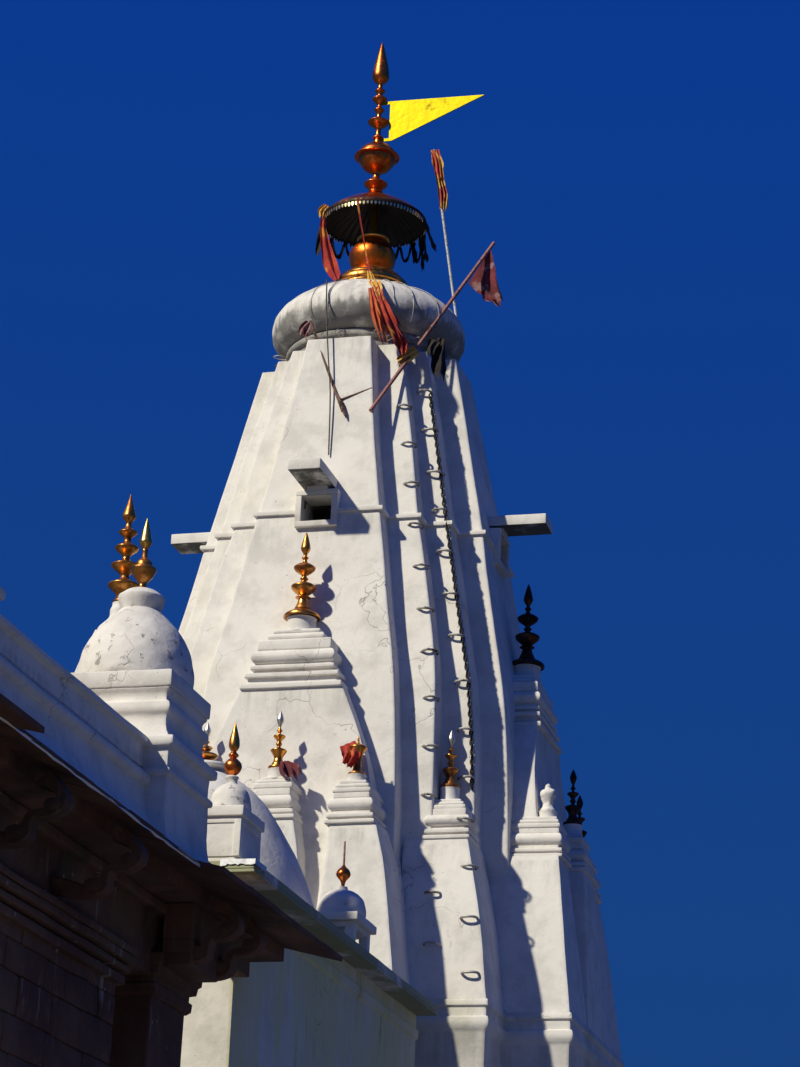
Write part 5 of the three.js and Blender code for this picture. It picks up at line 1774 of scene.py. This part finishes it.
def buildPlinth():
    bm = bmesh.new()
    for low, high, inset in ((0.0, 0.4496, 0.0), (0.45, 0.9, 0.3)):
        grow = 0.6 - inset
        side, end = hall["half"] + grow, porch["front"] - grow
        bay, far, corner = shrine["bay"] + grow, shrine["bayOut"] + grow, shrine["corner"] + grow
        right = [(side, end), (side, -corner), (corner, -corner), (corner, -bay), (far, -bay), (far, bay),
            (corner, bay), (corner, corner), (bay, corner), (bay, far)]
        corners = [Vector(point) for point in right + [(-x, y) for x, y in right[::-1]]]
        cuts = cutsFor(corners, 0.5)
        rings = []
        for inside, level in slabEdge(low, high, 0.014):
            drawn = [c - Vector((math.copysign(inside, c.x), math.copysign(inside, c.y))) for c in corners]
            rings.append(lift(rounded(drawn, 0.02, cuts, 2), level))
        loft(bm, rings)
    for vert in bm.verts:
        jitter = noise.noise_vector(vert.co * 2.2) * 0.006
        vert.co.x += jitter.x
        vert.co.y += jitter.y
    addPiece("plinth_stone", bm, "plinthStone", ("plinth",), 30)


# What hangs on the tower: climbing irons, a conductor chain, poles' cloths, sticks and rags

# One iron: a loop of painted bar that lies level, with both ends in the wall
def ironShape():
    bm = bmesh.new()
    knots = [(-0.1, 0.085, 0), (-0.1, 0.0, 0), (-0.095, -0.04, 0.002), (-0.066, -0.078, 0.006),
        (0, -0.09, 0.008), (0.066, -0.078, 0.006), (0.095, -0.04, 0.002), (0.1, 0.0, 0), (0.1, 0.085, 0)]
    bar(bm, spline(knots, 2), 0.017, 8)
    return bm


# Levels of the irons in each of two columns; the lowest ones are set in the corner spire
irons = {
    "left": (15.93, 15.312, 14.687, 14.029, 13.388, 12.74, 12.095, 11.431, 10.772, 10.116),
    "right": (16.27, 15.644, 14.96, 14.358, 13.705, 13.057, 12.426, 11.754, 11.085, 10.439, 9.902),
    "low": ((1.903, 8.78), (1.953, 8.09), (2.4, 8.43), (2.46, 7.72)),
    "corner": (9.77, 9.13),
    "inset": 0.11,
}


def buildIrons():
    rng = random.Random(17)
    spots = []

    def place(x, y, level, aside=0.0):
        turn = (rng.uniform(-0.1, 0.16), rng.uniform(-0.08, 0.08), aside + rng.uniform(-0.08, 0.08))
        spots.append(((x, y, level), turn, (1, 1, 1)))

    for level in irons["left"]:
        at = towerAt(level)
        place(at[2] - 0.062, 0.045 - at[3], level, 0.66)
    for level in irons["right"]:
        at = towerAt(level)
        place(at[3] - irons["inset"], -at[2], level)
    rows = cornerSpires["rows"]
    for x, level in irons["low"] + tuple((0, level) for level in irons["corner"]):
        low, high = (rows[0], rows[1]) if level < rows[1][0] else (rows[1], rows[2])
        far = low[1] + (high[1] - low[1]) * (min(level, high[0]) - low[0]) / (high[0] - low[0])
        if x:
            place(x, -far, level)
        else:
            place(far - 0.045, 0.045 - far, level, math.pi / 4)
    repeatShape("climbing_irons", spots, ironShape(), "iron", (), 0.05, 0.0, 6)


def buildConductor():
    link = bmesh.new()
    turns = [2 * math.pi * k / 12 for k in range(12)]
    path = [Vector((0.021 * math.cos(turn), 0, 0.044 * math.sin(turn))) for turn in turns]
    along = Vector((0, 1, 0))
    rings = []
    for i, point in enumerate(path):
        side = (path[(i + 1) % 12] - path[i - 1]).normalized().cross(along)
        rings.append([point + (side * math.cos(turn) + along * math.sin(turn)) * 0.011 for turn in turns[::2]])
    joinRings(link, rings, True)
    spots = []
    level, turn = 16.2, 0
    while level > 10.3:
        at = towerAt(level)
        spots.append(((at[3] - 0.03, -at[2] - 0.022, level), (0.03, 0.0, turn), (1, 1, 1)))
        level -= 0.066
        turn = math.pi / 2 - turn
    repeatShape("conductor_chain", spots, link, "blackened", (), 0.0, 0.1, 8)


# The place at a share of the way along a line of points
def alongPath(path, share):
    place = min(max(share, 0), 1) * (len(path) - 1)
    low = min(int(place), len(path) - 2)
    return path[low].lerp(path[low + 1], place - low)


def headingAt(path, share):
    return (alongPath(path, share + 0.03) - alongPath(path, share - 0.03)).normalized()


acrossView = (0.93, 0.36, 0)        # level, and square to the line of sight


# A cloth as one open sheet: its middle follows a spine, its width runs along a direction, its folds deepen
# downwards and its far end is torn. Its cut is measured from the sheet itself.
def hangCloth(name, spine, widths, material, rests, folds, depth, torn, seed, across=acrossView,
              replaced=(), slanted=False):
    rng = random.Random(seed)
    path = spline(spine, 8)
    across = Vector(across)
    columns, count = 14, 30
    ends = [rng.random() for _ in range(columns + 1)]
    grid = []
    for j in range(count + 1):
        line = []
        for k in range(columns + 1):
            u = k / columns - 0.5
            share = j / count * (1 - torn * ends[k])
            ahead = headingAt(path, share)
            side = (across - ahead * (0 if slanted else ahead.dot(across))).normalized()
            wide = valueAt(widths, share * (len(widths) - 1))
            fold = math.sin(2 * math.pi * (u * folds + share * 0.7 + seed * 0.37))
            wave = fold * depth * min(1, 0.2 + share * 1.6)
            place = alongPath(path, share) + side * u * wide + side.cross(ahead) * wave
            line.append(place + noise.noise_vector(place * 6 + Vector((seed, 0, 0))) * depth * 0.35)
        grid.append(line)
    bm = bmesh.new()
    verts = [[bm.verts.new(point) for point in line] for line in grid]
    for high, low in zip(verts, verts[1:]):
        for corners in zip(high, high[1:], low[1:], low):
            bm.faces.new(corners)
    area = sum(face.calc_area() for face in bm.faces)
    wide = 0
    for j, line in enumerate(grid):
        ahead = headingAt(path, j / count)
        wide = max(wide, sum((b - a - ahead * ahead.dot(b - a)).length for a, b in zip(line, line[1:])))
    long = max(sum((low[k] - high[k]).length for high, low in zip(grid, grid[1:])) for k in range(columns + 1))
    piece = addPiece(name, bm, material, replaced, 60, False)
    min(area, wide * long)


cloths = {      # spine, widths, finish, rests on, folds, depth, torn, seed, across, what it replaces, slanted
    "parasol_cloth_knot": (((-0.605, -0.425, 19.6), (-0.645, -0.45, 19.5), (-0.648, -0.45, 19.37)),
        (0.1, 0.17, 0.07), "yellowCloth", ("parasol_top",), 3, 0.022, 0.3, 3),
    "parasol_cloth": (((-0.64, -0.44, 19.5), (-0.645, -0.445, 19.24), (-0.612, -0.445, 19.04),
        (-0.553, -0.445, 18.8), (-0.48, -0.455, 18.58), (-0.4, -0.48, 18.42), (-0.35, -0.52, 18.31)),
        (0.06, 0.1, 0.14, 0.21, 0.17, 0.03), "scarletCloth", ("parasol_top",), 1.6, 0.03, 0.08, 4),
    "parasol_ribbon": (((-0.044, -0.775, 19.49), (0.05, -0.785, 19.0), (0.14, -0.8, 18.555),
        (0.235, -0.9, 18.2)), (0.03, 0.022, 0.026, 0.05), "scarletCloth", ("parasol_top",), 0.6, 0.004,
        0.02, 5),
    "wound_cloth": (((0.225, -0.92, 18.24), (0.3, -1.0, 18.03), (0.4, -1.2, 17.93), (0.52, -1.4, 17.7),
        (0.6, -1.46, 17.48)), (0.06, 0.13, 0.16, 0.13, 0.1), "yellowCloth",
        ("amalaka_plaster", "parasol_ribbon"), 2.4, 0.03, 0.1, 6),
    "torn_cloth_a": (((0.47, -1.42, 17.74), (0.62, -1.48, 17.42), (0.74, -1.46, 17.15), (0.86, -1.36, 16.9)),
        (0.1, 0.2, 0.26, 0.2), "scarletCloth", ("wound_cloth",), 2.6, 0.045, 0.35, 7),
    "torn_cloth_b": (((0.42, -1.43, 17.72), (0.5, -1.49, 17.4), (0.58, -1.46, 17.1), (0.66, -1.38, 16.78)),
        (0.06, 0.12, 0.12, 0.1), "orangeCloth", ("wound_cloth",), 2.0, 0.03, 0.45, 8),
    "torn_cloth_c": (((0.8, -1.32, 17.05), (0.86, -1.3, 16.88), (0.9, -1.27, 16.72)), (0.14, 0.18, 0.1),
        "orangeCloth", ("torn_cloth_a",), 2.2, 0.03, 0.2, 9),
    "pole_knot": (((1.04, -1.13, 16.86), (0.93, -1.19, 16.74), (0.8, -1.24, 16.6)), (0.15, 0.2, 0.13),
        "yellowCloth", ("flag_pole_leaning",), 2.6, 0.04, 0.25, 10, (0.3, 0.5, -0.8)),
    "tall_pole_cloth": (((0.9, -0.03, 20.58), (0.945, -0.04, 20.33), (0.99, -0.04, 20.08), (1.05, -0.03, 19.8),
        (1.06, -0.02, 19.52)), (0.12, 0.17, 0.12, 0.16, 0.1), "yellowCloth", ("flag_pole_tall",), 3.2, 0.034,
        0.12, 11),
    "tall_pole_rag": (((0.86, -0.05, 20.56), (0.92, -0.07, 20.4), (0.96, -0.07, 20.2), (1.01, -0.06, 20.05)),
        (0.05, 0.09, 0.08, 0.05), "orangeCloth", ("flag_pole_tall",), 1.6, 0.025, 0.3, 12),
    "leaning_flag_cloth": (((1.61, 0.055, 18.66), (1.7, 0.065, 18.47), (1.79, 0.075, 18.27),
        (1.945, 0.095, 18.02)), (0.66, 0.52, 0.34, 0.12), "redCloth", ("flag_pole_leaning",), 1.3, 0.035, 0.1,
        13, (0.43, 0.215, 0.88), ("leaning_flag",), True),
    "flag_hem": (((1.7, 0.03, 18.17), (1.76, 0.04, 18.12), (1.84, 0.05, 18.1)), (0.1, 0.13, 0.1), "redCloth",
        ("leaning_flag_cloth",), 1.6, 0.02, 0.1, 19, (0.1, 0.3, 0.9)),
    "pole_rags": (((1.37, -1.03, 17.04), (1.35, -1.09, 16.8), (1.38, -1.16, 16.55), (1.43, -1.22, 16.3)),
        (0.1, 0.2, 0.22, 0.1), "darkLeaves", ("tower_plaster",), 1.4, 0.05, 0.3, 14),
    "pole_rags_low": (((1.3, -1.1, 17.0), (1.27, -1.16, 16.86), (1.29, -1.2, 16.7)), (0.16, 0.14, 0.07),
        "darkLeaves", ("tower_plaster",), 1.8, 0.03, 0.3, 18),
    "stick_rag": (((-0.49, -1.36, 17.3), (-0.53, -1.4, 17.18), (-0.55, -1.42, 17.02)), (0.07, 0.15, 0.12),
        "redCloth", ("long_sticks",), 1.8, 0.03, 0.3, 15),
    "finial_cloth": (((0.89, -3.1, 10.58), (0.95, -3.13, 10.42), (0.9, -3.12, 10.25)), (0.2, 0.24, 0.14),
        "scarletCloth", ("small_finials_front",), 2.4, 0.035, 0.25, 16, (1, 0, 0)),
    "cap_cloth": (((0.1, -3.24, 10.34), (0.2, -3.3, 10.22), (0.33, -3.33, 10.04)), (0.12, 0.26, 0.2),
        "redCloth", ("small_finials_front",), 2.6, 0.04, 0.35, 17, (0.8, 0, -0.5)),
}


def buildCloths():
    for name, facts in cloths.items():
        hangCloth(name, *facts)


# Dry festoons under the parasol's rim, as dark ragged bands
def buildFestoons():
    rim, level = parasol["rim"] + 0.01, parasol["rimLevel"] - 0.05
    rng = random.Random(29)

    def festoon(name, spine, thin, wide, across, torn, seed):
        widths = [rng.uniform(thin, wide) for _ in range(9)]
        hangCloth(name, spine, widths, "darkLeaves", ("parasol_rim_band",), 0.8, 0.012, torn, seed, across)

    for k, (angle, reach, drop) in enumerate(((172, 22, 0.3), (150, 20, 0.27), (131, 16, 0.18), (84, 16, 0.22),
                                              (66, 18, 0.27), (46, 20, 0.36), (25, 18, 0.3))):
        spine = []
        for i in range(5):
            turn = math.radians(angle + reach * (i / 4 - 0.5))
            sag = drop * (1 - (i / 2 - 1) ** 2) ** 0.8
            spine.append(onCircle(rim, turn, level - sag - 0.02))
        festoon("festoon_%d" % k, spine, 0.035, 0.075, (0, 0, 1), 0.0, 30 + k)
    for k, (angle, drop) in enumerate(((192, 0.55), (40, 0.62), (31, 0.5), (56, 0.4))):
        turn = math.radians(angle)
        x, y = rim * math.cos(turn), rim * math.sin(turn)
        spine = [(x + 0.02 * i * (1 if x > 0 else -1), y, level - drop * i / 3) for i in range(4)]
        festoon("festoon_tail_%d" % k, spine, 0.03, 0.09, acrossView, 0.15, 40 + k)
    blown = ((0.77, -0.06, 19.43), (0.84, -0.03, 19.24), (0.91, -0.01, 19.05), (0.97, 0.0, 18.9))
    festoon("blown_festoon", blown, 0.03, 0.08, (0.9, 0.2, 0.3), 0.2, 50)


def buildSticks():
    bm = bmesh.new()
    bar(bm, [(-0.473, -1.33, 17.324), (-0.14, -1.53, 16.52), (0.192, -1.735, 15.729)], 0.02, 8)
    bar(bm, [(0.1, -1.665, 15.93), (0.556, -1.6, 16.112)], 0.014, 8)
    for k in range(4):
        bar(bm, [(0.09 + 0.03 * k, -1.69, 16.02 - 0.05 * k), (0.17 + 0.02 * k, -1.74, 15.84 - 0.04 * k),
                 (0.2 + 0.015 * k, -1.76, 15.72 - 0.03 * k)], 0.012, 6)
    addPiece("long_sticks", bm, "darkPole", ())
    bm = bmesh.new()
    bar(bm, spline([(-0.253, -1.36, 17.936), (-0.2, -1.47, 17.4), (-0.09, -1.62, 16.6), (-0.011, -1.7, 16.02),
                    (0.06, -1.86, 15.05)], 3), 0.011, 6)
    addPiece("black_rod", bm, "blackened", ())


# Bent wires round the foot of the ribbed crown stone, and thin ones down over it
def buildWires():
    bm = bmesh.new()
    rng = random.Random(41)
    for k, angle in enumerate((196, 204, 246, 268, 292, 300, 318)):
        turn = math.radians(angle)
        away = onCircle(1, turn)
        side = Vector((-away.y, away.x, 0))
        start = away * 1.19 + Vector((0, 0, 17.12 + rng.uniform(-0.05, 0.06)))
        long, wide = rng.uniform(0.12, 0.22), rng.uniform(0.04, 0.08)
        knots = [start - away * 0.03, start + away * long * 0.5 + side * wide, start + away * long,
            start + away * long * 0.5 - side * wide, start - away * 0.03 + Vector((0, 0, -0.03))]
        bar(bm, spline(knots, 4), 0.007, 6)
    over = ((0.56, 18.29), (0.96, 18.12), (1.3, 17.88), (1.415, 17.62), (1.395, 17.44), (1.3, 17.3))
    for angle in (250, 262, 300, 312, 330):
        turn = math.radians(angle)
        bar(bm, spline([onCircle(r, turn, z) for r, z in over], 4), 0.006, 6)
    addPiece("crown_wires", bm, "iron", ())


addCamera()
addLights()
buildTower()
buildWindows()
buildHalfSpires()
buildCornerSpires()
buildFinials()
buildCrown()
print("tower and crown made")
buildIrons()
buildConductor()
buildSticks()
buildWires()
buildCloths()
buildFestoons()
print("dressings made")
buildShrine()
buildHall()
buildParapet()
buildCove()
buildPorchRoof()
buildCornice()
buildBrackets()
buildEaveArms()
buildMasonry()
buildBeams()
buildPavilions()
buildPlinth()
print("halls made")

# Remaining CAD pieces that keep their own shape get their finish here
nodeFinish = {
    "pennant": "giltSheet",
    "flag_pole_tall": "greyPole",
    "flag_pole_leaning": "rustyPole",
}


def finishNodes():
    for name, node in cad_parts.items():
        keys = [key for key in nodeFinish if name.startswith(key)]
        if keys:
            node.data.materials.clear()
            node.data.materials.append(materials[nodeFinish[max(keys, key=len)]])


finishNodes()

bm = bmesh.new()
bmesh.ops.create_grid(bm, x_segments=2, y_segments=2, size=150)
floorMesh = bpy.data.meshes.new("floor")
bm.to_mesh(floorMesh)
bm.free()
floorMesh.materials.append(makeFloor())
floor = bpy.data.objects.new("floor", floorMesh)
scene.collection.objects.link(floor)
